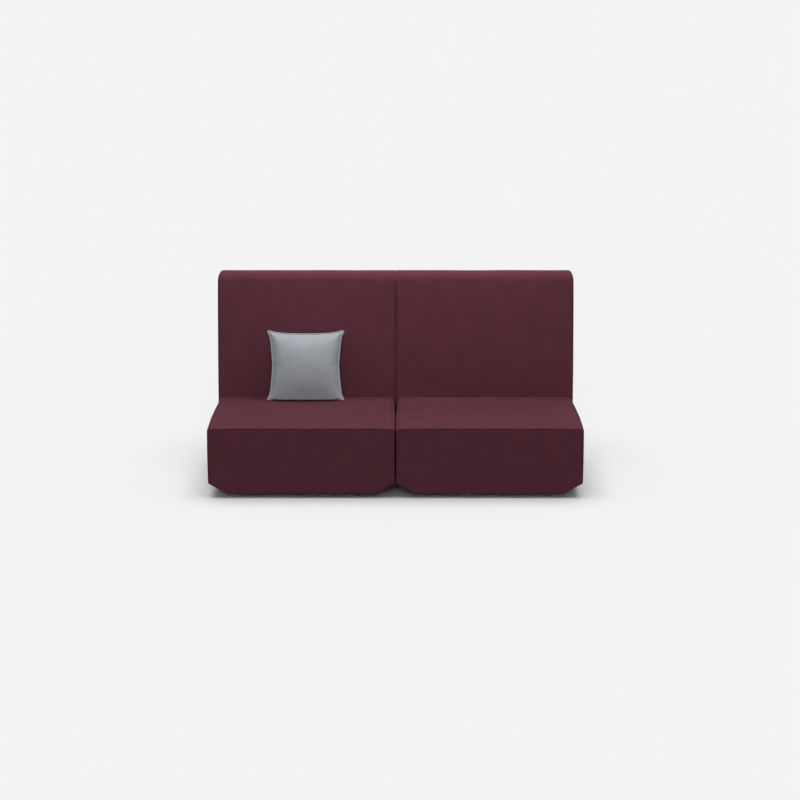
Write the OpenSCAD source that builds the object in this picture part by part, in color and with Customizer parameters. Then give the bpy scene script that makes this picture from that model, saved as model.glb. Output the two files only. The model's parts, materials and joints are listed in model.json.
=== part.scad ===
// Two-seat modular sofa: two armless modules standing side by side, and one loose cushion.
// Millimetres. The origin is on the floor, at the centre of the sofa's bounding box.
// X runs to the right as seen from the front, Y to the back and Z up.
// Inside one module, x is 0 at its middle, y is 0 at the seat's front face and z is 0 on the floor.

/* [Overall size] */
// Width of one module at its front face
module_w = 996.5; // [760:0.5:1300]
// Gap between the two seats
module_gap = 7; // [6:0.5:20]
// Height of the seat above the floor
seat_h = 380; // [340:1:480]
// Depth of the seat from its front face to the backrest, at seat height
seat_depth = 788; // [620:1:950]
// Length of the backrest above the seat, along its slope
back_len = 714; // [480:1:850]
// Thickness of the backrest
back_t = 150; // [140:1:200]
// Backward lean of the backrest, in degrees
back_rake = 8.4; // [3:0.1:14]
// Height of the underside above the floor
floor_gap = 25; // [23:1:60]

/* [Upholstery shape] */
// Width of the slanted cut along each lower side edge
chamfer_w = 103; // [70:1:130]
// Height of the slanted cut along each lower side edge
chamfer_h = 60; // [40:1:80]
// Radius of the seat's side edges at the front
seat_edge_r = 16; // [8:1:28]
// Radius of the seat's side edges at the backrest
seat_rear_edge_r = 30; // [16:1:40]
// Radius of the seat's front edges
front_edge_r = 5; // [3:0.5:12]
// Radius of the backrest's side edges
back_edge_r = 12; // [6:1:20]
// Radius of the backrest's rolled top
back_top_r = 60; // [30:1:66]
// Rise of the seat's middle above its edges
seat_crown = 4; // [0:0.5:12]
// Swell of the backrest's front above the seat
back_crown = 9; // [0:0.5:12]
// How far the seat's sides draw in at the backrest
side_draw = 6; // [0:0.5:12]
// How far each side of the backrest swells out past the seat
back_swell_w = 2.7; // [0:0.1:2.8]

/* [Cover and padding] */
// Thickness of the cover and the wadding quilted to it
cover_t = 4; // [3:0.5:6]
// Width of the seam gap between the seat and the backrest
seam_gap = 1; // [0.6:0.1:3]
// Thickness of the foam over the front board
front_pad_t = 20; // [10:1:35]
// Thickness of the foam over the side boards
side_pad_t = 18; // [10:1:30]
// Thickness of the seat foam
seat_foam_t = 112; // [80:1:130]
// Thickness of the backrest's front foam
back_foam_t = 46; // [30:1:60]
// Radius of the foam's upper corners on the backrest
foam_corner_r = 20; // [8:1:40]
// Thickness of the felt over the springs
felt_t = 3; // [2:0.5:6]
// Thickness of the dust cover under the module
dust_t = 1.5; // [1:0.5:2]

/* [Frame] */
// Thickness of the upright plywood boards
board_t = 18; // [15:1:24]
// Thickness of the plywood floor board
floor_board_t = 15; // [12:1:21]
// Thickness of the slanted plywood boards
chamfer_board_t = 8; // [6:1:12]
// Width of a backrest upright
upright_w = 45; // [42:1:60]
// Depth of a backrest upright
upright_t = 60; // [45:1:64]
// Height of a backrest rail
rail_h = 45; // [30:1:60]
// Depth of the lumbar rail and of the bottom rail
slim_rail_t = 22; // [18:1:30]
// Thickness of the hardboard rear panel
panel_t = 3; // [2:0.5:6]

/* [Springs and webbing] */
// Number of zigzag springs in one seat
spring_count = 5; // [3:1:7]
// Thickness of the spring wire
spring_wire = 4; // [3:0.5:5]
// Width of a spring's loops
spring_w = 52; // [40:1:70]
// Number of half loops in one spring
spring_loops = 16; // [12:2:28]
// Width of a spring clip
clip_w = 26; // [18:1:34]
// Depth of a spring clip, front to back
clip_d = 14; // [10:1:16]
// Thickness of a spring clip's wall
clip_wall = 1.2; // [1:0.1:2]
// Number of elastic straps across one backrest
web_count = 5; // [3:1:6]
// Width of an elastic strap
web_w = 60; // [40:1:70]
// Thickness of an elastic strap
web_t = 2; // [1.5:0.1:3]

/* [Glides and links] */
// Radius of a floor glide
glide_r = 24; // [16:1:30]
// Distance from the front face to the front glides' centre
glide_front = 125; // [100:1:180]
// Distance from the rear glides' centre to the backrest's front at seat height
glide_rear = 63; // [50:1:160]
// Distance from the floor board's side to a glide's centre
glide_inset = 50; // [34:1:90]
// Radius of a glide screw's shank
glide_screw_r = 2.5; // [2:0.1:3]
// Wood left above the tip of a glide screw
screw_tip_gap = 2; // [1:0.5:4]
// Distance from the front face to the front link's centre
link_front = 240; // [200:1:280]
// Distance from the rear links' centre to the backrest's front at seat height
link_rear = 148; // [120:1:300]
// Distance from the floor board's side to a link's centre
link_inset = 32; // [26:1:60]
// Outer radius of a link socket and of a link nut
link_r = 14; // [11:1:20]
// Height of a link socket and of a link nut
link_h = 9; // [7:0.5:11]
// Radius of a link socket's bore
socket_bore_r = 6.3; // [5:0.1:8]
// Radial clearance of the link pin in its socket
pin_clearance = 0.3; // [0.1:0.05:0.5]
// Radius of the threaded bore in a link nut
nut_bore_r = 4; // [3:0.1:5]
// Width of a link strap
strap_w = 30; // [26:1:40]
// Thickness of a link strap
strap_t = 4; // [3:0.5:5]
// Distance that a strap runs past its pin and its bolt
strap_end = 18; // [14:1:24]
// How far the tip of a link pin stays under the top of its socket
pin_tip_gap = 1; // [0.5:0.5:3]

/* [Backrest bolts] */
// Radius of a backrest bolt's shank
bolt_r = 4; // [3:0.5:5]
// Height of the lower bolts above the floor
bolt_low = 120; // [110:1:140]
// Distance between the lower and upper bolts
bolt_gap = 90; // [40:1:100]
// Distance from an upright's outer face to its bolts
bolt_inset = 32; // [31:1:33]
// Thickness of a tee nut's flange and of its barrel's wall
tee_wall = 1.5; // [1:0.1:2]

/* [Cushion] */
// Width of the cushion from corner to corner
cushion_w = 440; // [340:1:560]
// Height of the cushion from corner to corner
cushion_h = 396; // [340:1:440]
// Thickness of the cushion at its middle
cushion_t = 136; // [110:1:160]
// Thickness of the cushion along its seams
cushion_edge_t = 6; // [5:0.5:10]
// How far the cushion's sides draw in between its corners
cushion_side_in = 28; // [0:1:40]
// How far the cushion's upper edge draws in between its corners
cushion_top_in = 18; // [0:1:30]
// Backward lean of the cushion, in degrees
cushion_lean = 13; // [9:0.5:16]
// Thickness of the cushion's cloth
cushion_cloth = 2.5; // [2:0.1:4]

/* [Cushion zip] */
// Length of the zip's tape
zip_len = 230; // [160:1:240]
// Width of the zip's tape
zip_tape_w = 24; // [20:1:28]
// Thickness of the zip's tape
zip_tape_t = 1; // [0.8:0.1:1.5]
// Height of the zip above the cushion's lower edge
zip_height = 50; // [44:1:70]
// Width of the closed row of zip teeth
zip_teeth_w = 4; // [3:0.5:5]
// Height of the zip teeth above the tape
zip_teeth_h = 1.2; // [0.8:0.1:1.6]
// Distance from the closed slider's middle to the tape's end
zip_end = 16; // [10:1:30]
// Length of the slider
slider_len = 13; // [10:1:18]
// Width of the slider
slider_w = 9; // [8:0.5:12]
// Thickness of the slider's plate over the teeth
slider_t = 1.5; // [1:0.1:2.5]
// Thickness of the slider's lug round the hinge pin
lug_wall = 0.8; // [0.6:0.1:1.2]
// Radius of the pull's hinge pin
pull_pin_r = 0.8; // [0.7:0.1:1.2]
// Thickness of the pull
pull_t = 1.6; // [1.4:0.1:2.2]
// Width of the pull
pull_w = 8; // [7:0.5:10]
// Length of the pull from its hinge
pull_len = 15; // [12:1:18]
// Length of the pull's slot from its hinge
pull_slot_l = 5.6; // [4.5:0.1:8]

/* [Hidden] */
$fn = 48;

// Colours
wine = "#5a2c38";
ply = "#c9a878";
pine = "#d8b98a";
hardboard = "#7d5a3c";
foam = "#e6dcc0";
black = "#222222";
steel = "#9a9da0";
grey = "#8d9598";
white = "#e8e8e4";

// Clearance between two pieces that lie on each other
fit = 0.3;
// Clearance of a shank or a pin in its hole
hole_fit = 0.1;
// How far a cutting shape runs past what it cuts
over = 10;
// Step between the points of a rounded edge, in degrees
arc_step = 15;
// Parts that the seat's depth and the backrest's slope are divided into
seat_parts = 12;
back_parts = 6;
// Faces across and up one half of the cushion's cover, and of the layers inside it
cover_cols = 8;
cover_rows = 20;
inner_cols = 5;
inner_rows = 10;
// Power at which the seat's crown and the backrest's swell fade towards the sides
side_power = 4;
// Powers that shape the cushion's bulge: fuller with a higher first and a lower second one
full_power = 4;
full_root = 0.55;
// Layers inside the cushion are a little flatter, so their coarser faces stay inside
inner_share = 0.97;

// Slope of the backrest
rake_tan = tan(back_rake);
rake_cos = cos(back_rake);
rake_sin = sin(back_rake);

// Half widths of a module, of its padding and of its wooden frame
hw = module_w / 2;
core_hw = hw - side_draw - cover_t - fit;
frame_hw = core_hw - side_pad_t;

// Distances in from the outer faces to the padding and to the floor board
pad_in = cover_t + fit;
chamfer_in = pad_in + chamfer_board_t;
chamfer_l = norm([chamfer_w, chamfer_h]);

// Front faces of the front board and of the space behind it
front_y = pad_in + front_pad_t;
inner_y = front_y + board_t;

// Heights in the seat, from the floor up
board_z = floor_gap + dust_t;
board_top = board_z + floor_board_t;
clip_h = spring_wire + 2 * clip_wall;
foam_top = seat_h - pad_in;
foam_z = foam_top - seat_foam_t;
felt_z = foam_z - fit - felt_t;
frame_top = felt_z - clip_h;
// The backrest cover's front wall stops at this height, and the seat's frame passes under it
window_z = seat_h - 2 * seat_rear_edge_r;

// Distances behind the backrest's front plane
face_n = seam_gap / 2;
foam_n = face_n + pad_in;
web_n = foam_n + back_foam_t + fit;
frame_n = web_n + web_t;
frame_rear_n = frame_n + upright_t;
panel_rear_n = frame_rear_n + panel_t;
// Height of the backrest's frame along its slope, a third of a rail under the rolled top
frame_top_u = back_len - back_top_r - rail_h / 3;

// Size of the whole sofa, which centres it
depth = max([for (p = back_profile(0, 0)) p[0]]);
module_x = (module_w + module_gap) / 2;
tall = 2 * (seat_h + back_len);

// Position on the backrest's slope: at height z, or at length u along it, and n behind it
function at_z(z, n) = [seat_depth + (z - seat_h) * rake_tan + n / rake_cos, z];
function slab(u, n) = [
    seat_depth + u * rake_sin + n * rake_cos,
    seat_h + u * rake_cos - n * rake_sin
];
// Length along the slope at height z and n behind the front plane
function length_at(z, n) = (z - seat_h + n * rake_sin) / rake_cos;

// The slanted cut along a lower side edge, moved inwards by e
function chamfer_x(z, e) =
    hw - chamfer_w + ((z - floor_gap) * chamfer_w - e * chamfer_l) / chamfer_h;
function chamfer_z(x, e) =
    floor_gap + ((x - hw + chamfer_w) * chamfer_h + e * chamfer_l) / chamfer_w;

// Whole outline from its right half, which is listed from the bottom up
function both_sides(half) =
    concat(half, [for (i = [len(half) - 1 : -1 : 0]) [-half[i][0], half[i][1]]]);

// Outline in X and Z with the slanted cuts
function cut_section(half_w, e, z0, z1) = both_sides([
    [chamfer_x(z0, e), z0],
    [half_w, chamfer_z(half_w, e)],
    [half_w, z1]
]);

// Right half of a rounded upper edge of radius r, moved inwards by e
function round_edge(half_w, z1, r, e) = [
    for (a = [0 : arc_step : 90])
        [half_w - r + (r - e) * cos(a), z1 - r + (r - e) * sin(a)]
];

// Outline of the backrest in Y and Z, moved inwards by e and cut off at height z0
function back_profile(e, z0) = concat(
    [at_z(z0, face_n + e)],
    [for (a = [0 : arc_step : 90]) back_arc(a, e, face_n + back_top_r, -1)],
    [for (a = [90 : -arc_step : 0]) back_arc(a, e, back_t - back_top_r, 1)],
    [at_z(z0, back_t - e)]
);
function back_arc(a, e, n, way) = slab(
    back_len - back_top_r + (back_top_r - e) * sin(a),
    n + way * (back_top_r - e) * cos(a)
);

function ease(t) = t <= 0 ? 0 : t >= 1 ? 1 : t * t * (3 - 2 * t);

// Solid skin over a row of closed outlines. Flat ends are one face each. On other ends, an
// outline's first half faces its second half, so it has an even number of points.
module loft(rows, flat_ends = false) {
    n = len(rows[0]);
    last = (len(rows) - 1) * n;
    points = [for (row = rows) each row];
    sides = [
        for (i = [0 : len(rows) - 2], j = [0 : n - 1])
            let (a = i * n + j, b = i * n + (j + 1) % n)
                each [[a, b, b + n], [a, b + n, a + n]]
    ];
    flat = [[for (j = [n - 1 : -1 : 0]) j], [for (j = [0 : n - 1]) last + j]];
    strips = [
        for (j = [0 : n / 2 - 2])
            let (a = j, b = j + 1, c = n - 2 - j, d = n - 1 - j)
                each [
                    [c, b, a], [d, c, a],
                    [last + a, last + b, last + c], [last + a, last + c, last + d]
                ]
    ];
    polyhedron(points, concat(sides, flat_ends ? flat : strips), convexity = 6);
}

// Extrudes an outline in Y and Z along X, or an outline in X and Z along Y
module along_x(outline, x0, x1) {
    translate([x0, 0, 0])
        rotate([90, 0, 90])
            linear_extrude(x1 - x0)
                polygon(outline);
}
module along_y(outline, y0, y1) {
    translate([0, y1, 0])
        rotate([90, 0, 0])
            linear_extrude(y1 - y0)
                polygon(outline);
}

// Turns pieces onto the backrest's slope, with Y as n and Z as u
module on_slope() {
    translate([0, seat_depth, seat_h])
        rotate([-back_rake, 0, 0])
            children();
}

// Board or foam on the backrest's slope
module slope_block(half_w, n0, n1, u0, u1) {
    on_slope()
        translate([-half_w, n0, u0])
            cube([2 * half_w, n1 - n0, u1 - u0]);
}

// Keeps what lies above the floor board's underside, inside the slanted cuts
module inside_cuts(half_w, z1) {
    intersection() {
        children();
        along_y(cut_section(half_w, pad_in, board_z, z1), 0, 2 * depth);
    }
}

// Keeps what lies in front of the plane n behind the backrest's front
module before_slope(n) {
    intersection() {
        children();
        along_x([[-over, 0], at_z(0, n), at_z(tall, n), [-over, tall]], -hw, hw);
    }
}

// Puts a copy of a piece on each side
module both_ends(x) {
    for (side = [-1, 1])
        translate([side * x, 0, 0])
            children();
}

// Places of the four glides, and of the two links on one side
glide_x = chamfer_x(board_z, chamfer_in) - glide_inset;
link_x = chamfer_x(board_z, chamfer_in) - link_inset;
module at_glides() {
    both_ends(glide_x)
        for (y = [glide_front, seat_depth - glide_rear])
            translate([0, y, 0])
                children();
}
module at_links(x) {
    for (y = [link_front, seat_depth - link_rear])
        translate([x, y, 0])
            children();
}

// Frame of the seat

module front_board() {
    color(ply)
        along_y(cut_section(frame_hw, pad_in, board_z, frame_top), front_y, inner_y);
}

module rear_board() {
    color(ply)
        difference() {
            inside_cuts(frame_hw, frame_top)
                slope_block(frame_hw, frame_n - board_t, frame_n, -seat_h, 0);
            at_back_bolts()
                cylinder(r = bolt_r + hole_fit, h = frame_n + over);
        }
}

module side_boards() {
    x = frame_hw - board_t;
    outline = [
        [x, chamfer_z(x, chamfer_in)], [frame_hw, chamfer_z(frame_hw, chamfer_in)],
        [frame_hw, frame_top], [x, frame_top]
    ];
    color(ply)
        for (side = [0, 1])
            mirror([side, 0, 0])
                before_slope(frame_n - board_t)
                    along_y(outline, inner_y, depth);
}

module chamfer_boards() {
    outline = [
        [chamfer_x(board_z, chamfer_in), board_z], [chamfer_x(board_z, pad_in), board_z],
        [frame_hw, chamfer_z(frame_hw, pad_in)], [frame_hw, chamfer_z(frame_hw, chamfer_in)]
    ];
    color(ply)
        for (side = [0, 1])
            mirror([side, 0, 0])
                before_slope(frame_n - board_t)
                    along_y(outline, inner_y, depth);
}

module floor_board() {
    outline = both_sides([
        [chamfer_x(board_z, chamfer_in), board_z],
        [chamfer_x(board_top, chamfer_in), board_top]
    ]);
    color(ply)
        difference() {
            before_slope(frame_n - board_t)
                along_y(outline, inner_y, depth);
            at_glides()
                translate([0, 0, board_z - over])
                    cylinder(r = glide_screw_r + hole_fit, h = floor_board_t + 2 * over);
            for (x = [-link_x, link_x])
                at_links(x)
                    translate([0, 0, board_z - over])
                        cylinder(r = link_r + hole_fit, h = over + link_h);
        }
}

// Springs of the seat

// Middle of the clips on the front board and on the rear board
clip_front_y = front_y + board_t / 2;
clip_rear_y = at_z(frame_top, frame_n - board_t / 2)[0];
spring_pitch = (clip_rear_y - clip_front_y) / spring_loops;

// Middle line of a spring: bars from side to side, joined by a loop at each end
spring_path = concat(
    [[-spring_w / 2, clip_front_y], [clip_w / 2, clip_front_y]],
    [
        for (i = [1 : spring_loops - 1], d = [-1, 1])
            [(i % 2 == 1 ? 1 : -1) * spring_w / 2, clip_front_y + (i + d / 4) * spring_pitch]
    ],
    [[-clip_w / 2, clip_rear_y], [spring_w / 2, clip_rear_y]]
);

function unit(v) = v / norm(v);
function left_of(v) = [-v[1], v[0]];
// Offset direction at point i of a path, long enough to keep the ribbon's width at a bend
function bend(path, i) =
    let (
        last = len(path) - 1,
        before = left_of(unit(i == 0 ? path[1] - path[0] : path[i] - path[i - 1])),
        after = left_of(unit(i == last ? path[i] - path[i - 1] : path[i + 1] - path[i])),
        mid = unit(before + after)
    )
    mid / (mid * before);
function ribbon(path, w) = concat(
    [for (i = [0 : len(path) - 1]) path[i] + bend(path, i) * w / 2],
    [for (i = [len(path) - 1 : -1 : 0]) path[i] - bend(path, i) * w / 2]
);

module at_springs() {
    for (i = [1 : spring_count])
        translate([frame_hw * (2 * i / (spring_count + 1) - 1), 0, 0])
            children();
}

module seat_springs() {
    color(steel)
        at_springs()
            translate([0, 0, frame_top + clip_wall])
                linear_extrude(spring_wire)
                    polygon(ribbon(spring_path, spring_wire));
}

// Folded steel clip: a plate on the board, a back and a lip over the wire
module spring_clip(way) {
    y = clip_d / 2;
    translate([0, 0, frame_top])
        along_x([
            [-way * y, 0], [way * y, 0], [way * y, clip_h], [-way * y, clip_h],
            [-way * y, clip_h - clip_wall], [way * (y - clip_wall), clip_h - clip_wall],
            [way * (y - clip_wall), clip_wall], [-way * y, clip_wall]
        ], -clip_w / 2, clip_w / 2);
}

module spring_clips() {
    color(steel)
        at_springs() {
            translate([0, clip_front_y, 0])
                spring_clip(-1);
            translate([0, clip_rear_y, 0])
                spring_clip(1);
        }
}

// Padding of the seat

module spring_felt() {
    color(black)
        before_slope(face_n - fit)
            along_y(both_sides([[frame_hw, felt_z], [frame_hw, felt_z + felt_t]]),
                front_y, depth);
}

module seat_foam() {
    outline = both_sides(concat(
        [[core_hw, foam_z]],
        round_edge(core_hw + pad_in, seat_h, seat_rear_edge_r, pad_in)
    ));
    color(foam)
        before_slope(face_n - fit)
            along_y(outline, pad_in, depth);
}

module seat_edge_foams() {
    side = [
        [frame_hw, chamfer_z(frame_hw, pad_in)], [core_hw, chamfer_z(core_hw, pad_in)],
        [core_hw, foam_z], [frame_hw, foam_z]
    ];
    color(foam) {
        along_y(cut_section(core_hw, pad_in, board_z, foam_z), pad_in, front_y);
        for (way = [0, 1])
            mirror([way, 0, 0])
                before_slope(frame_n)
                    along_y(side, front_y + fit, depth);
    }
}

// Cover of the seat

// Rise of the seat's middle at t of its depth and at x
function seat_rise(x, t) = seat_crown * sin(180 * t) * (1 - pow(x / hw, side_power));

// Closed outline at t of the seat's depth, moved inwards by e on the front edge
function seat_row(y, t, e) =
    let (
        w = hw - side_draw * ease(2 * t - 1),
        r = seat_edge_r + (seat_rear_edge_r - seat_edge_r) * ease(t),
        top = [
            for (f = [0.8 : -0.2 : 0.1])
                let (x = (w - r) * f) [x, seat_h - e + seat_rise(x, t)]
        ],
        half = concat(
            [[chamfer_x(floor_gap, e), floor_gap], [w - e, chamfer_z(w - e, e)]],
            round_edge(w, seat_h, r, e),
            top
        )
    )
    [for (p = both_sides(half)) [p[0], y + min(0, p[1] - seat_h) * rake_tan * t, p[1]]];

seat_rows = concat(
    [
        for (a = [0 : 2 * arc_step : 60])
            seat_row(front_edge_r * (1 - cos(a)), 0, front_edge_r * (1 - sin(a)))
    ],
    [
        for (i = [0 : seat_parts])
            let (t = i / seat_parts)
                seat_row(front_edge_r + (seat_depth - face_n / rake_cos - front_edge_r) * t, t, 0)
    ]
);

module seat_cover() {
    inner = both_sides(concat(
        [
            [chamfer_x(floor_gap - over, cover_t), floor_gap - over],
            [core_hw + fit, chamfer_z(core_hw + fit, cover_t)]
        ],
        round_edge(core_hw + pad_in, seat_h, seat_rear_edge_r, cover_t)
    ));
    color(wine)
        difference() {
            loft(seat_rows, true);
            along_y(inner, cover_t, depth);
        }
}

module dust_cover() {
    outline = both_sides([
        [chamfer_x(floor_gap, pad_in), floor_gap], [chamfer_x(board_z, pad_in), board_z]
    ]);
    color(black)
        difference() {
            along_y(outline, pad_in, at_z(floor_gap, back_t - pad_in)[0]);
            at_glides()
                translate([0, 0, floor_gap - over])
                    cylinder(r = glide_screw_r + hole_fit, h = dust_t + 2 * over);
            for (x = [-link_x, link_x])
                at_links(x)
                    translate([0, 0, floor_gap - over])
                        cylinder(r = link_r + hole_fit, h = dust_t + 2 * over);
        }
}

// Glides and links

// A screw's head is about twice as wide as its shank, and half its shank high
glide_head_r = 2.2 * glide_screw_r;
glide_head_h = glide_screw_r;
// Height of the screw's head inside the glide
glide_head_z = floor_gap / 2;
screw_l = board_top - screw_tip_gap - glide_head_z + glide_head_h;

// Slanted rim under a glide
rim = glide_r / 8;

module glides() {
    color(black)
        at_glides()
            rotate_extrude()
                polygon([
                    [glide_head_r + fit, 0], [glide_r - rim, 0], [glide_r, rim],
                    [glide_r, floor_gap], [glide_screw_r + hole_fit, floor_gap],
                    [glide_screw_r + hole_fit, glide_head_z], [glide_head_r + fit, glide_head_z]
                ]);
}

module glide_screws() {
    color(steel)
        at_glides() {
            translate([0, 0, glide_head_z - glide_head_h])
                cylinder(r = glide_head_r, h = glide_head_h);
            translate([0, 0, glide_head_z - glide_head_h])
                cylinder(r = glide_screw_r, h = screw_l);
        }
}

module link_sockets() {
    color(steel)
        at_links(-link_x)
            translate([0, 0, floor_gap])
                difference() {
                    cylinder(r = link_r, h = link_h);
                    translate([0, 0, -over])
                        cylinder(r = socket_bore_r, h = link_h + 2 * over);
                }
}

module link_nuts() {
    color(steel)
        at_links(link_x)
            translate([0, 0, floor_gap - fit])
                difference() {
                    cylinder(r = link_r, h = link_h);
                    translate([0, 0, -over])
                        cylinder(r = nut_bore_r, h = link_h + 2 * over);
                }
}

// Half distance between the two links that one strap joins
strap_x = module_x - link_x;
strap_z = floor_gap - fit - strap_t;
pin_r = socket_bore_r - pin_clearance;
link_bolt_r = nut_bore_r - hole_fit;
link_head_r = 1.75 * link_bolt_r;

module link_straps() {
    half_l = strap_x + strap_end;
    color(steel)
        at_links(0)
            difference() {
                translate([-half_l, -strap_w / 2, strap_z])
                    cube([2 * half_l, strap_w, strap_t]);
                translate([strap_x, 0, strap_z - over])
                    cylinder(r = pin_r + hole_fit, h = strap_t + 2 * over);
                translate([-strap_x, 0, strap_z - over])
                    cylinder(r = link_bolt_r + hole_fit, h = strap_t + 2 * over);
            }
}

module link_pins() {
    color(steel)
        at_links(strap_x)
            translate([0, 0, strap_z])
                cylinder(r = pin_r, h = strap_t + link_h - pin_tip_gap);
}

module link_bolts() {
    head_h = link_bolt_r;
    color(steel)
        at_links(-strap_x)
            translate([0, 0, strap_z - head_h]) {
                cylinder(r = link_head_r, h = head_h);
                cylinder(r = link_bolt_r, h = head_h + strap_t + link_h);
            }
}

// Frame of the backrest

// Heads, barrels and flanges keep their proportions to the bolt's shank
bolt_head_r = 1.9 * bolt_r;
bolt_head_h = 0.6 * bolt_r;
tee_r = bolt_r + tee_wall;
tee_flange_r = 2.2 * bolt_r;
tee_l = 3 * bolt_r;

// Places of the four bolts, each axis running back from the plane n through the slope
module at_back_bolts(n = 0) {
    for (side = [-1, 1], z = [bolt_low, bolt_low + bolt_gap])
        on_slope()
            translate([side * (frame_hw - bolt_inset), n, length_at(z, frame_n)])
                rotate([-90, 0, 0])
                    children();
}

module back_uprights() {
    color(pine)
        difference() {
            inside_cuts(frame_hw, tall)
                both_ends(frame_hw - upright_w / 2)
                    slope_block(upright_w / 2, frame_n, frame_rear_n, -seat_h, frame_top_u);
            at_back_bolts()
                cylinder(r = bolt_r + hole_fit, h = back_t);
            at_back_bolts(frame_rear_n - tee_l)
                cylinder(r = tee_r + hole_fit, h = back_t);
            at_back_bolts(frame_rear_n - tee_wall)
                cylinder(r = tee_flange_r + hole_fit, h = back_t);
        }
}

module back_rails() {
    half_w = frame_hw - upright_w;
    slim_n = frame_rear_n - slim_rail_t;
    color(pine) {
        slope_block(half_w, frame_n, frame_rear_n, frame_top_u - rail_h, frame_top_u);
        slope_block(half_w, slim_n, frame_rear_n, 0, rail_h);
        inside_cuts(half_w, board_z + rail_h)
            slope_block(half_w, slim_n, frame_rear_n, -seat_h, 0);
    }
}

module back_webbing() {
    first_u = rail_h + web_w / 2;
    last_u = frame_top_u - rail_h - web_w;
    color(black)
        for (i = [0 : web_count - 1])
            let (u = first_u + (last_u - first_u) * i / (web_count - 1))
                slope_block(frame_hw - upright_w / 4, web_n, frame_n, u, u + web_w);
}

module back_panel() {
    color(hardboard)
        inside_cuts(frame_hw, tall)
            slope_block(frame_hw, frame_rear_n, panel_rear_n, -seat_h, frame_top_u);
}

module back_bolts() {
    length = board_t + upright_t - tee_wall;
    color(steel)
        at_back_bolts(frame_n - board_t) {
            translate([0, 0, -bolt_head_h])
                cylinder(r = bolt_head_r, h = bolt_head_h);
            cylinder(r = bolt_r, h = length);
        }
}

module back_tee_nuts() {
    color(steel)
        difference() {
            union() {
                at_back_bolts(frame_rear_n - tee_l)
                    cylinder(r = tee_r, h = tee_l);
                at_back_bolts(frame_rear_n - tee_wall)
                    cylinder(r = tee_flange_r, h = tee_wall);
            }
            at_back_bolts()
                cylinder(r = bolt_r + hole_fit, h = back_t);
        }
}

// Padding of the backrest

// Keeps what lies inside the slanted cuts and the rounded upper corners of the foam
module inside_foam() {
    top = max([for (p = back_profile(pad_in, 0)) p[1]]);
    outline = both_sides(concat(
        [[chamfer_x(board_z, pad_in), board_z], [core_hw, chamfer_z(core_hw, pad_in)]],
        round_edge(core_hw, top, foam_corner_r, 0)
    ));
    intersection() {
        children();
        along_y(outline, 0, 2 * depth);
    }
}

module back_front_foam() {
    color(foam)
        inside_foam()
            intersection() {
                along_x(back_profile(pad_in, window_z), -hw, hw);
                slope_block(hw, 0, foam_n + back_foam_t, -seat_h, tall);
            }
}

module back_wrap_foams() {
    color(foam)
        inside_foam() {
            intersection() {
                along_x(back_profile(pad_in, 0), -hw, hw);
                slope_block(hw, web_n, panel_rear_n - fit, frame_top_u, tall);
            }
            intersection() {
                along_x(back_profile(pad_in, 0), -hw, hw);
                slope_block(hw, panel_rear_n, back_t, -seat_h, tall);
            }
            both_ends((frame_hw + core_hw) / 2)
                slope_block(side_pad_t / 2, frame_n, panel_rear_n - fit, -seat_h,
                    frame_top_u - fit);
        }
}

// Cover of the backrest

// Swell of the backrest's front and sides at length u along the slope
function back_bulge(u) = u <= 0 ? 0 : sin(180 * min(1, u / back_len));

// Closed outline of the backrest at x, moved inwards by e at its side edges
function back_row(x, e) =
    let (
        z0 = max(floor_gap, chamfer_z(abs(x), e)),
        straight = back_len - back_top_r,
        lengths = [for (i = [0 : back_parts - 1]) straight * i / back_parts],
        wide = pow(abs(x) / hw, side_power),
        front = concat(
            [concat(at_z(z0, face_n + e), 0)],
            [
                for (u = lengths)
                    concat(slab(u, face_n + e - back_crown * back_bulge(u) * (1 - wide)), u)
            ],
            [
                for (a = [0 : arc_step : 90])
                    concat(back_arc(a, e, face_n + back_top_r, -1), straight)
            ]
        ),
        rear = concat(
            [
                for (a = [90 : -arc_step : 0])
                    concat(back_arc(a, e, back_t - back_top_r, 1), straight)
            ],
            [
                for (i = [back_parts - 1 : -1 : 0])
                    concat(slab(lengths[i], back_t - e), lengths[i])
            ],
            [concat(at_z(z0, back_t - e), 0)]
        )
    )
    [
        for (p = concat(front, rear))
            [x + sign(x) * wide * back_swell_w * (0.5 + back_bulge(p[2]) / 2), p[0], p[1]]
    ];

// Rows of the right half: the middle, the start of the slanted cut and the rounded side edge
back_half_rows = concat(
    [for (f = [0.1 : 0.2 : 0.7]) back_row(hw * f, 0)],
    [back_row(hw - chamfer_w, 0)],
    [
        for (a = [90 : -1.5 * arc_step : 0])
            back_row(hw - back_edge_r * (1 - cos(a)), back_edge_r * (1 - sin(a)))
    ]
);
back_rows = concat(
    [
        for (i = [len(back_half_rows) - 1 : -1 : 0])
            [for (p = back_half_rows[i]) [-p[0], p[1], p[2]]]
    ],
    back_half_rows
);

module back_cover() {
    profile = back_profile(cover_t, window_z);
    last = len(profile) - 1;
    inner = concat(
        [for (i = [0 : last - 1]) profile[i]],
        [at_z(-over, back_t - cover_t), at_z(-over, -over), at_z(window_z, -over)]
    );
    color(wine)
        difference() {
            loft(back_rows);
            intersection() {
                along_x(inner, -hw, hw);
                along_y(cut_section(core_hw + fit, cover_t, floor_gap - over, tall), 0, 2 * depth);
            }
        }
}

// Cushion

cushion_half_t = cushion_t / 2;
cushion_edge_half = cushion_edge_t / 2;
// Fullness of the bulge at a of the half width and s of the height, from 0 to 1
function fullness(a, s) =
    pow((1 - pow(abs(a), full_power)) * (1 - pow(abs(2 * s - 1), full_power)), full_root);
// Half width of the cushion at s of its height
function cushion_half_w(s) = cushion_w / 2 - cushion_side_in * (1 - pow(2 * s - 1, 2));
// Half thickness at a of the half width and s of the height
function cushion_belly(a, s, e) =
    cushion_edge_half + (cushion_half_t - cushion_edge_half - e) * fullness(a, s);

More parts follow.
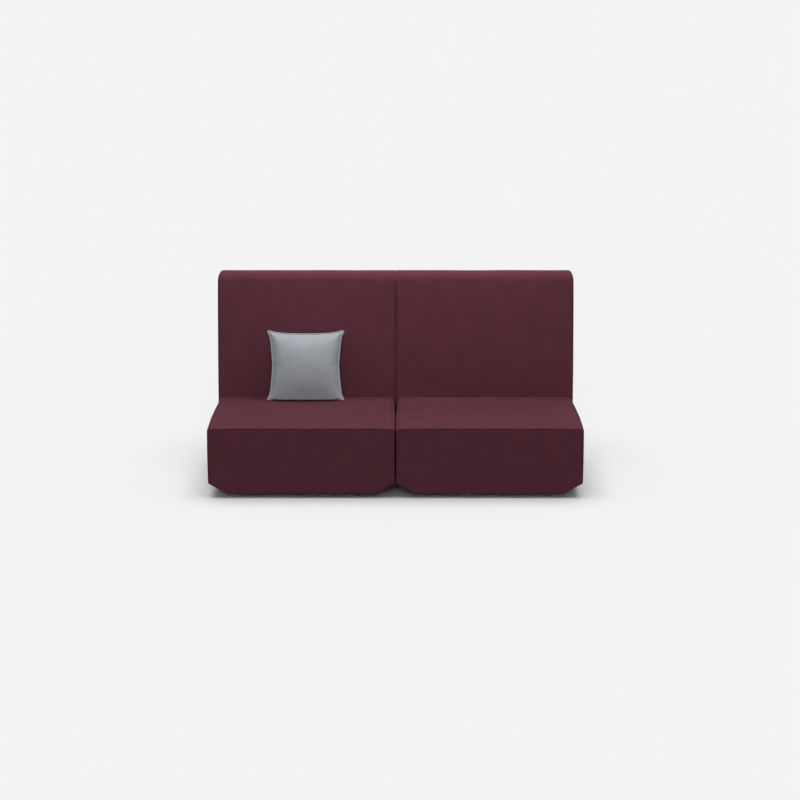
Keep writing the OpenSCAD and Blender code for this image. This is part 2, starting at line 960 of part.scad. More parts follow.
// Point of the cushion's front or rear, moved inwards by e
function cushion_point(a, s, e, way) = [
    a * (cushion_half_w(s) - 2 * e),
    way * cushion_belly(a, s, e) * (e > 0 ? inner_share : 1),
    2 * e + s * (cushion_h - 4 * e - cushion_top_in * (1 - a * a))
];

// Solid cushion of cols and rows of faces on each side
module cushion_solid(e, cols, rows) {
    loft([
        for (i = [0 : rows])
            let (s = (1 - cos(180 * i / rows)) / 2)
                concat(
                    [for (j = [-cols : cols]) cushion_point(sin(90 * j / cols), s, e, 1)],
                    [for (j = [cols : -1 : -cols]) cushion_point(sin(90 * j / cols), s, e, -1)]
                )
    ]);
}

// The cushion stands on the seat and its rear belly leans on the backrest
lean_over = cushion_lean - back_rake;
heights = [for (i = [0 : 5 * cover_rows]) i / (5 * cover_rows)];
cushion_low = min([
    for (s = heights)
        s * cushion_h * cos(cushion_lean) - cushion_belly(0, s, 0) * sin(cushion_lean)
]);
cushion_reach = max([
    for (s = heights) s * cushion_h * sin(lean_over) + cushion_belly(0, s, 0) * cos(lean_over)
]);
cushion_lift = seat_rise(0, 1 - cushion_t / seat_depth) + fit - cushion_low;
cushion_y = seat_depth
    + (face_n - back_crown - fit - cushion_reach + cushion_lift * rake_sin) / rake_cos;

module on_cushion() {
    translate([-module_x, cushion_y, seat_h + cushion_lift])
        rotate([-cushion_lean, 0, 0])
            children();
}

// Flat place of the zip on the cushion's rear
zip_a = zip_len / (cushion_w - 2 * cushion_side_in);
zip_low_u = zip_height - zip_tape_w / 2;
zip_high_u = zip_height + zip_tape_w / 2;
zip_low_n = cushion_belly(zip_a, zip_low_u / cushion_h, 0);
zip_high_n = cushion_belly(zip_a, zip_high_u / cushion_h, 0);
zip_tilt = atan2(zip_high_n - zip_low_n, zip_tape_w);

// Turns pieces onto the zip, with Y pointing out of the cushion and Z up along it
module on_zip() {
    on_cushion()
        translate([0, (zip_low_n + zip_high_n) / 2, zip_height])
            rotate([-zip_tilt, 0, 0])
                children();
}

// Space that the zip takes out of the cushion, which starts e under its outer face
module zip_space(e) {
    on_zip()
        translate([-zip_len / 2 - fit, -e, -zip_tape_w / 2 - fit])
            cube([zip_len + 2 * fit, cushion_t, zip_tape_w + 2 * fit]);
}

module cushion_cover() {
    color(grey)
        difference() {
            on_cushion()
                cushion_solid(0, cover_cols, cover_rows);
            on_cushion()
                cushion_solid(cushion_cloth, inner_cols, inner_rows);
            zip_space(zip_tape_t + fit);
        }
}

module cushion_filling() {
    color(white)
        difference() {
            on_cushion()
                cushion_solid(cushion_cloth + fit, inner_cols, inner_rows);
            zip_space(zip_tape_t + 2 * fit);
        }
}

module cushion_zip() {
    color(black)
        on_zip() {
            translate([-zip_len / 2, -zip_tape_t, -zip_tape_w / 2])
                cube([zip_len, zip_tape_t, zip_tape_w]);
            translate([-zip_len / 2, -zip_tape_t, -zip_teeth_w / 2])
                cube([zip_len, zip_tape_t + zip_teeth_h, zip_teeth_w]);
        }
}

// Heights above the tape
slider_top = zip_teeth_h + fit + slider_t;
pin_y = slider_top + fit + pull_t / 2;
lug_half_w = pull_w / 6;
zip_closed_x = -zip_len / 2 + zip_end;

module zip_slider() {
    lug_r = pull_pin_r + 2 * hole_fit + lug_wall;
    color(steel)
        on_zip()
            translate([zip_closed_x, 0, 0])
                difference() {
                    union() {
                        translate([-slider_len / 2, fit, -slider_w / 2])
                            cube([slider_len, slider_top - fit, slider_w]);
                        translate([-lug_r, slider_top - fit, -lug_half_w])
                            cube([2 * lug_r, pin_y - slider_top + fit, 2 * lug_half_w]);
                        translate([0, pin_y, -lug_half_w])
                            cylinder(r = lug_r, h = 2 * lug_half_w);
                    }
                    translate([-slider_len, -over, -zip_teeth_w / 2 - fit])
                        cube([2 * slider_len, over + zip_teeth_h + fit, zip_teeth_w + 2 * fit]);
                    translate([0, pin_y, -over])
                        cylinder(r = pull_pin_r + 2 * hole_fit, h = 2 * over);
                }
}

module zip_pull() {
    reach = pull_len + pull_t / 2;
    color(steel)
        on_zip()
            translate([zip_closed_x, pin_y, 0]) {
                difference() {
                    translate([-pull_t / 2, -pull_t / 2, -pull_w / 2])
                        cube([reach, pull_t, pull_w]);
                    translate([-over, -over, -lug_half_w - fit])
                        cube([over + pull_slot_l, 2 * over, 2 * (lug_half_w + fit)]);
                }
                translate([0, 0, -pull_w / 2])
                    cylinder(r = pull_pin_r, h = pull_w);
            }
}

// Puts a module's piece in the left or the right module, and centres the sofa on the origin
module left() {
    translate([-module_x, -depth / 2, 0])
        children();
}
module right() {
    translate([module_x, -depth / 2, 0])
        children();
}
module centred() {
    translate([0, -depth / 2, 0])
        children();
}

left() front_board();  // left_front_board
left() rear_board();  // left_rear_board
left() side_boards();  // left_side_boards
left() chamfer_boards();  // left_chamfer_boards
left() floor_board();  // left_floor_board
left() seat_springs();  // left_seat_springs
left() spring_clips();  // left_spring_clips
left() spring_felt();  // left_spring_felt
left() seat_foam();  // left_seat_foam
left() seat_edge_foams();  // left_seat_edge_foams
left() seat_cover();  // left_seat_cover
left() dust_cover();  // left_dust_cover
left() glides();  // left_glides
left() glide_screws();  // left_glide_screws
left() link_sockets();  // left_link_sockets
left() link_nuts();  // left_link_nuts
left() back_uprights();  // left_back_uprights
left() back_rails();  // left_back_rails
left() back_webbing();  // left_back_webbing
left() back_panel();  // left_back_panel
left() back_front_foam();  // left_back_front_foam
left() back_wrap_foams();  // left_back_wrap_foams
left() back_cover();  // left_back_cover
left() back_bolts();  // left_back_bolts
left() back_tee_nuts();  // left_back_tee_nuts
right() front_board();  // right_front_board
right() rear_board();  // right_rear_board
right() side_boards();  // right_side_boards
right() chamfer_boards();  // right_chamfer_boards
right() floor_board();  // right_floor_board
right() seat_springs();  // right_seat_springs
right() spring_clips();  // right_spring_clips
right() spring_felt();  // right_spring_felt
right() seat_foam();  // right_seat_foam
right() seat_edge_foams();  // right_seat_edge_foams
right() seat_cover();  // right_seat_cover
right() dust_cover();  // right_dust_cover
right() glides();  // right_glides
right() glide_screws();  // right_glide_screws
right() link_sockets();  // right_link_sockets
right() link_nuts();  // right_link_nuts
right() back_uprights();  // right_back_uprights
right() back_rails();  // right_back_rails
right() back_webbing();  // right_back_webbing
right() back_panel();  // right_back_panel
right() back_front_foam();  // right_back_front_foam
right() back_wrap_foams();  // right_back_wrap_foams
right() back_cover();  // right_back_cover
right() back_bolts();  // right_back_bolts
right() back_tee_nuts();  // right_back_tee_nuts
centred() link_straps();
centred() link_pins();
centred() link_bolts();
centred() cushion_cover();
centred() cushion_filling();
centred() cushion_zip();
centred() zip_slider();
centred() zip_pull();
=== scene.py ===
# %% [markdown]
# A two-seat modular sofa, dressed for the camera.
# The real one is two armless blocks of plywood, springs and foam. Each block wears a tight
# wine-red wool cover, and one loose grey cushion leans on the left backrest.
# The wood, springs, foam, zip and fittings come from the frame. This lesson adds what a
# photograph shows: covers with seams and fullness, an inflated cushion, a finish for every
# piece, soft studio light and the camera.

# %% Tools and the frame
import json
import math

import bpy
import numpy as np
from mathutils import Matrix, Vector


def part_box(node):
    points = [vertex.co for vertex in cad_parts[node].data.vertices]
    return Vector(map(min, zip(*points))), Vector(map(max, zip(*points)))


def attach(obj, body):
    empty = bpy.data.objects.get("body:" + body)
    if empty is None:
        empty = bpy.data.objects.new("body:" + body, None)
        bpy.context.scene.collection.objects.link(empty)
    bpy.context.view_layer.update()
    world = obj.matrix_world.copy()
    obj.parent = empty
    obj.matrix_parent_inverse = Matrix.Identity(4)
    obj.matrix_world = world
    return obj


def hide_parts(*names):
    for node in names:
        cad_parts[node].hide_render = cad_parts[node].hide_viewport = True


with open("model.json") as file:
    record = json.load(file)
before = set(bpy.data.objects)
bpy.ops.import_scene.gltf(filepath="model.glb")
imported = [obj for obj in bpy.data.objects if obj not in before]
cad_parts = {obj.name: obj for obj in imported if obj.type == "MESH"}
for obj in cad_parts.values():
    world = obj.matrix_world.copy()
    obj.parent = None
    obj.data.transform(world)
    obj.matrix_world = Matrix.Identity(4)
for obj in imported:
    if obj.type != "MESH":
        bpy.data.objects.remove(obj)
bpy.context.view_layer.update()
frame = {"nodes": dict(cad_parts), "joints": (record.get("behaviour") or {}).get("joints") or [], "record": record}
nodes = frame["nodes"]

# %% [markdown]
# The camera comes first, because every later choice is judged through it.
# The photograph's edges run nearly parallel, so the lens is long and the camera far away:
# 100 mm at eleven and a half metres. It looks down a little, from the height of a tall
# tripod, and stands straight in front, just right of the gap between the two seats.

# %% Camera
camera_distance = 11.464
camera_height = 3.101
camera_side = 0.0242
camera_pitch = math.radians(12.6)
front_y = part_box("left_seat_cover")[0].y

camera_data = bpy.data.cameras.new("camera")
camera_data.lens = 100
camera_data.sensor_width = 36
camera_data.clip_end = 400
camera = bpy.data.objects.new("camera", camera_data)
camera.location = (camera_side, front_y - camera_distance, camera_height)
camera.rotation_euler = (math.pi / 2 - camera_pitch, 0, 0)
bpy.context.scene.collection.objects.link(camera)
bpy.context.scene.camera = camera
bpy.context.scene.view_settings.view_transform = "Standard"
print("the camera stands at", [round(v, 3) for v in camera.location])

# %% [markdown]
# Colours are written as the hex values that a paint chart or a screen shows.
# Blender computes with linear light, so one function turns a hex value into linear numbers.
# A second small function adds a node to a material. It takes the kind of node, what goes
# into its sockets, which is a number, another node or one of its outputs, and its settings.

# %% Colour and node helpers
def linear(hex_colour):
    """sRGB hex text to a linear RGBA colour."""
    channels = [int(hex_colour[i:i + 2], 16) / 255 for i in (1, 3, 5)]
    return tuple(
        c / 12.92 if c <= 0.04045 else ((c + 0.055) / 1.055) ** 2.4 for c in channels
    ) + (1.0,)


def add_node(tree, kind, inputs, **settings):
    """A new node with its settings, and its sockets set or linked."""
    made = tree.nodes.new(kind)
    for name, value in settings.items():
        setattr(made, name, value)
    for name, value in inputs.items():
        if isinstance(value, bpy.types.Node):
            value = next(output for output in value.outputs if output.enabled)
        if isinstance(value, bpy.types.NodeSocket):
            tree.links.new(value, made.inputs[name])
        else:
            made.inputs[name].default_value = value
    return made


def start_material(name):
    """An empty material and its node tree."""
    material = bpy.data.materials.new(name)
    material.use_nodes = True
    material.node_tree.nodes.clear()
    return material, material.node_tree


print("wine red in linear light:", [round(c, 3) for c in linear("#6b3a47")[:3]])

# %% [markdown]
# The studio is a white sweep: floor and background have one pale tone with no horizon,
# and only a short soft shadow lies round the sofa.
# A large plane takes the shadow. Camera, mirror and glass rays see the floor and the world
# in the same pale tone, while the light that bounces back from the floor is set apart, so
# the background stays white without pouring more light on the sofa.

# %% Floor
floor_half = 150.0
studio_white = linear("#f3f3f3")
floor_bounce = linear("#7c7c7c")


def seen_rays(tree):
    """1 for rays that show a surface to the camera, straight or by mirror and glass."""
    path = add_node(tree, "ShaderNodeLightPath", {})
    seen = path.outputs["Is Camera Ray"]
    for kind in ("Is Glossy Ray", "Is Transmission Ray"):
        seen = add_node(tree, "ShaderNodeMath", {0: seen, 1: path.outputs[kind]},
                        operation="MAXIMUM")
    return seen


material, tree = start_material("painted_studio_floor")
tone = add_node(tree, "ShaderNodeMix",
                {"Factor": seen_rays(tree), "A": floor_bounce, "B": studio_white},
                data_type="RGBA")
matt = add_node(tree, "ShaderNodeBsdfDiffuse", {"Color": tone})
add_node(tree, "ShaderNodeOutputMaterial", {"Surface": matt})

floor_mesh = bpy.data.meshes.new("floor")
floor_mesh.from_pydata(
    [(-floor_half, -floor_half, 0), (floor_half, -floor_half, 0),
     (floor_half, floor_half, 0), (-floor_half, floor_half, 0)],
    [], [(0, 1, 2, 3)],
)
floor_mesh.materials.append(material)
floor = bpy.data.objects.new("floor", floor_mesh)
bpy.context.scene.collection.objects.link(floor)
print("the floor is", 2 * floor_half, "m wide")

# %% [markdown]
# The light in the photograph is soft and comes from above: the rolled tops and the seats
# are brightest, the fronts are a third darker, and the backrests darken towards the seats.
# Two soft boxes hang over the sofa, a wide sun stands for the light from the camera's side,
# and another keeps the rear from going black.
# Light linking says which things a lamp lights. The soft boxes and the rear sun leave the
# floor out, because they would print a bright patch on it, and the floor has an even sun
# of its own instead.

# %% Lights
def light_group(name, floor_only):
    """The things that a lamp lights: the floor alone, or everything but the floor."""
    group = bpy.data.collections.new(name)
    group.objects.link(floor)
    if not floor_only:
        group.collection_objects[0].light_linking.link_state = "EXCLUDE"
    return group


def add_lamp(name, kind, strength, lights=None):
    """A lamp in the scene, which lights a group of things or everything."""
    data = bpy.data.lights.new(name, kind)
    data.energy = strength
    lamp = bpy.data.objects.new(name, data)
    bpy.context.scene.collection.objects.link(lamp)
    if lights:
        lamp.light_linking.receiver_collection = lights
    return lamp


def add_sun(name, strength, spread, tilt_front, lights=None):
    """A sun whose light comes from a patch of sky that is spread degrees wide."""
    lamp = add_lamp(name, "SUN", strength, lights)
    lamp.data.angle = math.radians(spread)
    lamp.rotation_euler = (math.radians(tilt_front), 0, 0)


def add_soft_box(name, watts, place, width, depth):
    """A lamp with a wide face that shines straight down on all but the floor."""
    lamp = add_lamp(name, "AREA", watts, all_but_floor)
    lamp.data.shape = "RECTANGLE"
    lamp.data.size, lamp.data.size_y = width, depth
    lamp.location = place
    lamp.visible_camera = False


just_floor = light_group("just_floor", True)
all_but_floor = light_group("all_but_floor", False)
add_sun("floor_light", 2.35, 60, 0, just_floor)
add_sun("front_light", 0.645, 30, 70)
add_sun("rear_light", 0.67, 40, -50, all_but_floor)
add_soft_box("soft_box_over_seats", 4.3, (0, -0.3, 2.0), 3.0, 0.8)
add_soft_box("soft_box_over_backs", 19.6, (0, 0.3, 2.3), 3.0, 1.0)

# %% [markdown]
# The world stands for the white walls round a studio. Its own light is weak, and only rays
# that show it to the camera see it in the floor's pale tone, at a strength of 1.

# %% World
world_strength = 0.186

world = bpy.data.worlds.new("studio")
world.use_nodes = True
bpy.context.scene.world = world
tree = world.node_tree
tree.nodes.clear()
glow = add_node(tree, "ShaderNodeBackground",
                {"Color": (1, 1, 1, 1), "Strength": world_strength})
shown = add_node(tree, "ShaderNodeBackground", {"Color": studio_white, "Strength": 1.0})
mixed = add_node(tree, "ShaderNodeMixShader", {0: seen_rays(tree), 1: glow, 2: shown})
add_node(tree, "ShaderNodeOutputWorld", {"Surface": mixed})
print("the world's strength is", world_strength)

# %% [markdown]
# Cloth is threads going over and under each other. Two sine waves multiplied give that
# egg-box relief in one plane. The relief is worked out in three planes, and the surface's
# direction says how much of each one counts, so the weave follows every side of a cover
# without any unwrapping. What wanders on a surface, such as yarn, wood fibre or the
# crystals of zinc, is noise of a real size, which can be stretched along one axis.

# %% Weave and grain
def weave_relief(tree, thread_mm):
    """Height of a plain weave whose threads lie thread_mm apart, from -1 to 1."""
    place = add_node(tree, "ShaderNodeTexCoord", {})
    turned = add_node(tree, "ShaderNodeVectorMath",
                      {0: place.outputs["Object"], "Scale": math.pi / (thread_mm / 1000)},
                      operation="SCALE")
    wave = add_node(tree, "ShaderNodeVectorMath", {0: turned}, operation="SINE")
    wave = add_node(tree, "ShaderNodeSeparateXYZ", {0: wave})
    facing = add_node(tree, "ShaderNodeVectorMath",
                      {0: place.outputs["Normal"], 1: place.outputs["Normal"]},
                      operation="MULTIPLY")
    facing = add_node(tree, "ShaderNodeSeparateXYZ", {0: facing})
    total = 0.0
    for a, b, across in (("X", "Z", "Y"), ("X", "Y", "Z"), ("Y", "Z", "X")):
        crossing = add_node(tree, "ShaderNodeMath",
                            {0: wave.outputs[a], 1: wave.outputs[b]}, operation="MULTIPLY")
        total = add_node(tree, "ShaderNodeMath",
                         {0: crossing, 1: facing.outputs[across], 2: total},
                         operation="MULTIPLY_ADD")
    return total


def grain(tree, size_mm, detail=2.0, stretch=(1, 1, 1)):
    """Uneven blotches from 0 to 1, about size_mm across; stretch is small along fibres."""
    place = add_node(tree, "ShaderNodeTexCoord", {})
    scaled = add_node(tree, "ShaderNodeVectorMath",
                      {0: place.outputs["Object"], 1: stretch}, operation="MULTIPLY")
    return add_node(tree, "ShaderNodeTexNoise",
                    {"Vector": scaled, "Scale": 1000 / size_mm, "Detail": detail})


print("patterns:", weave_relief.__name__, "and", grain.__name__)

# %% [markdown]
# Every finish of this sofa is put together in the same way. Its colour wanders between two
# hex values. Cloth and foam are drawn darker in their pits, which is painted shade, while the
# darker fibres of wood are its own tone. Its roughness wanders too, because no surface is
# equally smooth everywhere, and a bump gives it a relief whose depth is given in millimetres.

# %% Colour and surface
def two_tones(tree, share, low, high, hex_low, hex_high):
    """Colour that goes from one hex value to another as share goes from low to high."""
    share = add_node(tree, "ShaderNodeMapRange",
                     {"Value": share, "From Min": low, "From Max": high})
    return add_node(tree, "ShaderNodeMix",
                    {"Factor": share, "A": linear(hex_low), "B": linear(hex_high)},
                    data_type="RGBA")


def pit_shade_and_fibre_tone(tree, colour, height, darkest, lowest=0.0):
    """Colour that is darker in the low parts of a relief, which runs from lowest to 1: painted shade in the pits
    of cloth and foam, and the own tone of wood's fibres.
    """
    shade = add_node(tree, "ShaderNodeMapRange",
                     {"Value": height, "From Min": lowest, "To Min": darkest})
    return add_node(tree, "ShaderNodeMix", {"Factor": 1.0, "A": colour, "B": shade},
                    data_type="RGBA", blend_type="MULTIPLY")


def end_material(tree, colour, uneven, rough, height, depth_mm, **others):
    """Joins colour, roughness and relief to a shader, and the shader to the output.

    The roughness runs from rough[0] to rough[1] as uneven goes from 0 to 1. The names in
    others are the shader's other sockets, with _ in place of a space.
    """
    roughness = add_node(tree, "ShaderNodeMapRange",
                         {"Value": uneven, "To Min": rough[0], "To Max": rough[1]})
    relief = add_node(tree, "ShaderNodeBump",
                      {"Height": height, "Distance": depth_mm / 1000})
    others = {name.replace("_", " "): value for name, value in others.items()}
    shader = add_node(tree, "ShaderNodeBsdfPrincipled", {
        "Base Color": colour, "Roughness": roughness, "Normal": relief, **others})
    add_node(tree, "ShaderNodeOutputMaterial", {"Surface": shader})


print("surfaces:", two_tones.__name__, pit_shade_and_fibre_tone.__name__, end_material.__name__)

# %% [markdown]
# The covers are a plain-woven wool blend, fulled so that its fibres lie matted over the
# threads. That makes it matt, with a faint pale bloom where it turns away from the eye.
# The yarn is spun from several dyed fibres, so it wanders a little between two wines.
# Real threads lie about 0.9 mm apart. That is finer than a pixel of the whole sofa, so they
# are drawn 2.2 mm apart and still show only from near.

# %% Wool blend cover cloth
yarn_blotch = 1.6
yarn_part = 0.65
yarn_height = 0.8


def woven_cloth(name, thread_mm, hex_low, hex_high, relief_mm, bloom, bloom_hex, wander_mm):
    """Matt woven cloth with yarn that wanders between two colours."""
    material, tree = start_material(name)
    relief = weave_relief(tree, thread_mm)
    yarn = grain(tree, thread_mm * yarn_blotch, 3.0)
    mingled = add_node(tree, "ShaderNodeMath", {0: yarn, 1: yarn_part},
                       operation="MULTIPLY")
    mingled = add_node(tree, "ShaderNodeMath",
                       {0: grain(tree, wander_mm), 1: 1 - yarn_part, 2: mingled},
                       operation="MULTIPLY_ADD")
    colour = two_tones(tree, mingled, 0.3, 0.7, hex_low, hex_high)
    height = add_node(tree, "ShaderNodeMath", {0: yarn, 1: yarn_height, 2: relief},
                      operation="MULTIPLY_ADD")
    # Painted shade: the colour is drawn 12% darker in the pits of the weave.
    end_material(tree, pit_shade_and_fibre_tone(tree, colour, relief, 0.88, lowest=-1.0), yarn, (0.82, 0.96),
                 height, relief_mm, Specular_IOR_Level=0.05, Sheen_Weight=bloom,
                 Sheen_Roughness=0.45, Sheen_Tint=linear(bloom_hex))
    return material


finishes = {}
finishes["sofa_fabric"] = woven_cloth(
    "wool_blend_plain_weave", thread_mm=2.2, hex_low="#653843", hex_high="#75404e",
    relief_mm=0.16, bloom=0.04, bloom_hex="#e8c8cc", wander_mm=90)
print("made", finishes["sofa_fabric"].name)

# %% [markdown]
# The cushion's case is a finer brushed cotton. Its threads are about 0.5 mm apart and are
# drawn 1.6 mm apart for the same reason. Brushing leaves a soft nap: shallower relief,
# more bloom, and almost no gloss.

# %% Brushed cotton of the cushion
finishes["cushion_fabric"] = woven_cloth(
    "brushed_cotton", thread_mm=1.6, hex_low="#b6bec3", hex_high="#c8cfd5",
    relief_mm=0.07, bloom=0.06, bloom_hex="#f2f4f6", wander_mm=60)
print("made", finishes["cushion_fabric"].name)

# %% [markdown]
# Under the covers lie soft fillings. Cut foam is pale yellow, and its open cells of about a
# millimetre are drawn 2.4 mm wide. The cushion's filling is carded polyester fibre: white,
# and woolly in long clumps. The felt over the springs is needled from dark rag fibre. All
# three are matt.

# %% Foam, fibre and felt
def soft_filling(name, hex_low, hex_high, cell_mm, relief_mm, stretch, clump_mm):
    """Matt filling with small cells or fibres and broad uneven patches."""
    material, tree = start_material(name)
    cells = grain(tree, cell_mm, 4.0, stretch)
    colour = two_tones(tree, grain(tree, clump_mm), 0.35, 0.65, hex_low, hex_high)
    # Painted shade: the colour is drawn 18% darker in the open cells and between fibre clumps.
    end_material(tree, pit_shade_and_fibre_tone(tree, colour, cells, 0.82), cells, (0.9, 1.0), cells,
                 relief_mm, Specular_IOR_Level=0.2, Sheen_Weight=0.15)
    return material


finishes["foam"] = soft_filling(
    "cut_polyurethane_foam", "#ded0a4", "#e8dcb6", 2.4, 0.5, (1, 1, 1), 120)
finishes["fibre_filling"] = soft_filling(
    "carded_polyester_fibre", "#e4e4e0", "#f2f2ee", 5.0, 1.2, (1, 0.25, 1), 40)
finishes["black_felt"] = soft_filling(
    "needled_rag_felt", "#222226", "#34343a", 3.0, 0.5, (1, 0.4, 1), 25)
print("made", [finishes[k].name for k in ("foam", "fibre_filling", "black_felt")])

# %% [markdown]
# The dust cover is spunbond: melted plastic threads laid at random, then pressed between
# rollers that leave a grid of small dots about 1.5 mm apart, drawn 3 mm apart to show.
# The elastic straps are woven, with rubber cores that run along the strap as ribs.

# %% Spunbond and elastic webbing
thread_mm = 1.5
dot_gap_mm, dot_depth_mm = 3.0, 0.12
rib_gap_mm, rib_depth_mm = 3.0, 0.3

material, tree = start_material("spunbond_polypropylene")
dots = weave_relief(tree, dot_gap_mm)
threads = grain(tree, thread_mm, 3.0)
colour = two_tones(tree, threads, 0.35, 0.65, "#17171a", "#2b2b30")
end_material(tree, colour, threads, (0.6, 0.85), dots, dot_depth_mm,
             Specular_IOR_Level=0.35)
finishes["dust_fabric"] = material

material, tree = start_material("woven_elastic_webbing")
place = add_node(tree, "ShaderNodeTexCoord", {})
ribs = add_node(tree, "ShaderNodeTexWave",
                {"Vector": place.outputs["Object"],
                 "Scale": 1000 / (rib_gap_mm * 2 * math.pi)},
                bands_direction="Z").outputs["Fac"]
threads = grain(tree, thread_mm, 3.0)
colour = two_tones(tree, ribs, 0.0, 1.0, "#1c1c20", "#3a3a42")
end_material(tree, pit_shade_and_fibre_tone(tree, colour, threads, 0.75), threads, (0.75, 0.95), ribs,
             rib_depth_mm)
finishes["elastic_webbing"] = material
print("made", finishes["dust_fabric"].name, "and", finishes["elastic_webbing"].name)

# %% [markdown]
# Wood is long fibres. Grain that is stretched along one axis gives them, and a slower grain
# gives the broad light and dark figure. Birch plywood is pale, with its fibres along the
# width of the sofa. Planed pine is yellower, with wide bands. Hardboard is brown fibre
# pressed smooth, and its fibres lie in all directions.

# %% Plywood, pine and hardboard
pore_depth_mm = 0.15


def sawn_wood(name, hex_low, hex_high, fibre_mm, figure_mm, stretch, rough):
    """Bare wood with fibres along the axis that stretch makes smallest."""
    material, tree = start_material(name)
    fibre = grain(tree, fibre_mm, 4.0, stretch)
    figure = grain(tree, figure_mm, 3.0, stretch)
    colour = two_tones(tree, figure, 0.3, 0.7, hex_low, hex_high)
    end_material(tree, pit_shade_and_fibre_tone(tree, colour, fibre, 0.8), fibre, rough, fibre,
                 pore_depth_mm, Specular_IOR_Level=0.4)
    return material


finishes["plywood"] = sawn_wood(
    "birch_plywood", "#c39a68", "#dcb988", 3.0, 40, (0.08, 1, 1), (0.55, 0.75))
finishes["pine"] = sawn_wood(
    "planed_pine", "#c98f55", "#e2b67e", 4.0, 30, (1, 1, 0.06), (0.5, 0.7))
finishes["hardboard"] = sawn_wood(
    "pressed_hardboard", "#6b4a30", "#7d583a", 1.5, 60, (1, 1, 1), (0.45, 0.6))
print("made", [finishes[k].name for k in ("plywood", "pine", "hardboard")])

# %% [markdown]
# Metals reflect with their own colour, so metallic is 1. Oiled spring wire is drawn through
# dies, which leaves a dark brownish grey. Zinc plating is brighter, with a faint crystal
# pattern, and the zip's cast parts are tumbled to a dull shine.

# %% Steels and cast zinc
crystal_depth_mm = 0.01


def plated_metal(name, hex_low, hex_high, grain_mm, rough):
    """Bare or plated metal with a fine uneven grain."""
    material, tree = start_material(name)
    crystals = grain(tree, grain_mm, 3.0)
    colour = two_tones(tree, crystals, 0.35, 0.65, hex_low, hex_high)
    end_material(tree, colour, crystals, rough, crystals, crystal_depth_mm, Metallic=1.0)
    return material


finishes["spring_steel"] = plated_metal(
    "oiled_spring_wire", "#7b766f", "#938d85", 4.0, (0.35, 0.5))
finishes["zinc_steel"] = plated_metal(
    "zinc_plated_steel", "#b4b8bc", "#cdd1d4", 6.0, (0.25, 0.42))
finishes["zip_metal"] = plated_metal(
    "tumbled_zinc_casting", "#a5a8ab", "#c2c5c8", 3.0, (0.3, 0.45))
print("made", [finishes[k].name for k in ("spring_steel", "zinc_steel", "zip_metal")])

# %% [markdown]
# Powder coat and moulded plastic are not metals. Powder is sprayed on and baked to a fine
# orange peel, and plastic copies its mould's satin. The zip's tape is a dense polyester
# weave, finer and darker than the case, so it is made as a cloth.

# %% Powder coat, plastic and zip tape
def moulded_coat(name, hex_low, hex_high, peel_mm, peel_depth_mm, rough):
    """Plastic or powder coat with a fine peel."""
    material, tree = start_material(name)
    peel = grain(tree, peel_mm)
    colour = two_tones(tree, peel, 0.3, 0.7, hex_low, hex_high)
    end_material(tree, colour, peel, rough, peel, peel_depth_mm)
    return material


finishes["black_steel"] = moulded_coat(
    "black_powder_coat", "#151516", "#202022", 1.2, 0.05, (0.4, 0.55))
finishes["black_plastic"] = moulded_coat(
    "moulded_polypropylene", "#1a1a1b", "#262628", 0.8, 0.03, (0.38, 0.52))
finishes["zip_tape"] = woven_cloth(
    "polyester_zip_tape", thread_mm=0.8, hex_low="#868b8f", hex_high="#959a9e",
    relief_mm=0.05, bloom=0.05, bloom_hex="#e0e4e6", wander_mm=20)
print("made", len(finishes), "finishes")

# %% [markdown]
# Every piece of the frame already carries the name of its slot in the record. The finish
# with that name takes its place, so the frame's hidden wood, springs and screws look right
# when a cover is taken away.

# %% Finishes on the frame's pieces
slot_names = [entry["slot"] for entry in frame["record"]["materials"]]
missing = [name for name in slot_names if name not in finishes]
dressed = set()
for name, piece in nodes.items():
    for holder in piece.material_slots:
        slot_name = holder.material.name.split(".")[0]
        if slot_name in finishes:
            holder.material = finishes[slot_name]
            dressed.add(name)
print("finishes missing:", missing, "pieces dressed:", len(dressed), "of", len(nodes))

# %% [markdown]
# Two shapes return in every cover: a rounded corner between two straight lines, and a flat
# panel filled from its rim. Meshes are built as grids of points, because a grid can place
# a line of points exactly along a seam, where a sculpted or remeshed shape would blur it.

# %% Shape helpers
def eased(t):
    """Goes from 0 to 1 with a level start and end."""
    t = np.clip(t, 0, 1)
    return t * t * (3 - 2 * t)


def rounded_corner(before, corner, after, radius, steps):
    """Points of the arc that rounds a corner between two straight lines."""
    before, corner, after = (np.array(p, float) for p in (before, corner, after))
    inwards = (before - corner) / np.linalg.norm(before - corner)
    outwards = (after - corner) / np.linalg.norm(after - corner)
    half_turn = math.acos(float(np.clip(inwards @ outwards, -1, 1))) / 2
    middle = inwards + outwards
    centre = corner + middle / np.linalg.norm(middle) * radius / math.sin(half_turn)
    start = corner + inwards * radius / math.tan(half_turn) - centre
    end = corner + outwards * radius / math.tan(half_turn) - centre
    turn = math.pi - 2 * half_turn
    share = np.linspace(0, 1, steps + 1)[:, None]
    arc = start * np.sin((1 - share) * turn) + end * np.sin(share * turn)
    return centre + arc / math.sin(turn)


def filled_panel(bottom, top, left, right):
    """Grid of points inside four chains that meet at their ends, which are its rim."""
    u = np.linspace(0, 1, len(bottom))[None, :, None]
    v = np.linspace(0, 1, len(left))[:, None, None]
    across = (1 - v) * bottom[None] + v * top[None]
    along = (1 - u) * left[:, None] + u * right[:, None]
    corners = ((1 - u) * (1 - v) * bottom[0] + u * (1 - v) * bottom[-1]
               + (1 - u) * v * top[0] + u * v * top[-1])
    return across + along - corners


def grid_faces(numbers, keep=None):
    """Four-sided faces over a grid of point numbers."""
    faces = []
    for i in range(numbers.shape[0] - 1):
        for j in range(numbers.shape[1] - 1):
            if keep is None or keep(i, j):
                faces.append((numbers[i, j], numbers[i, j + 1],
                              numbers[i + 1, j + 1], numbers[i + 1, j]))
    return faces


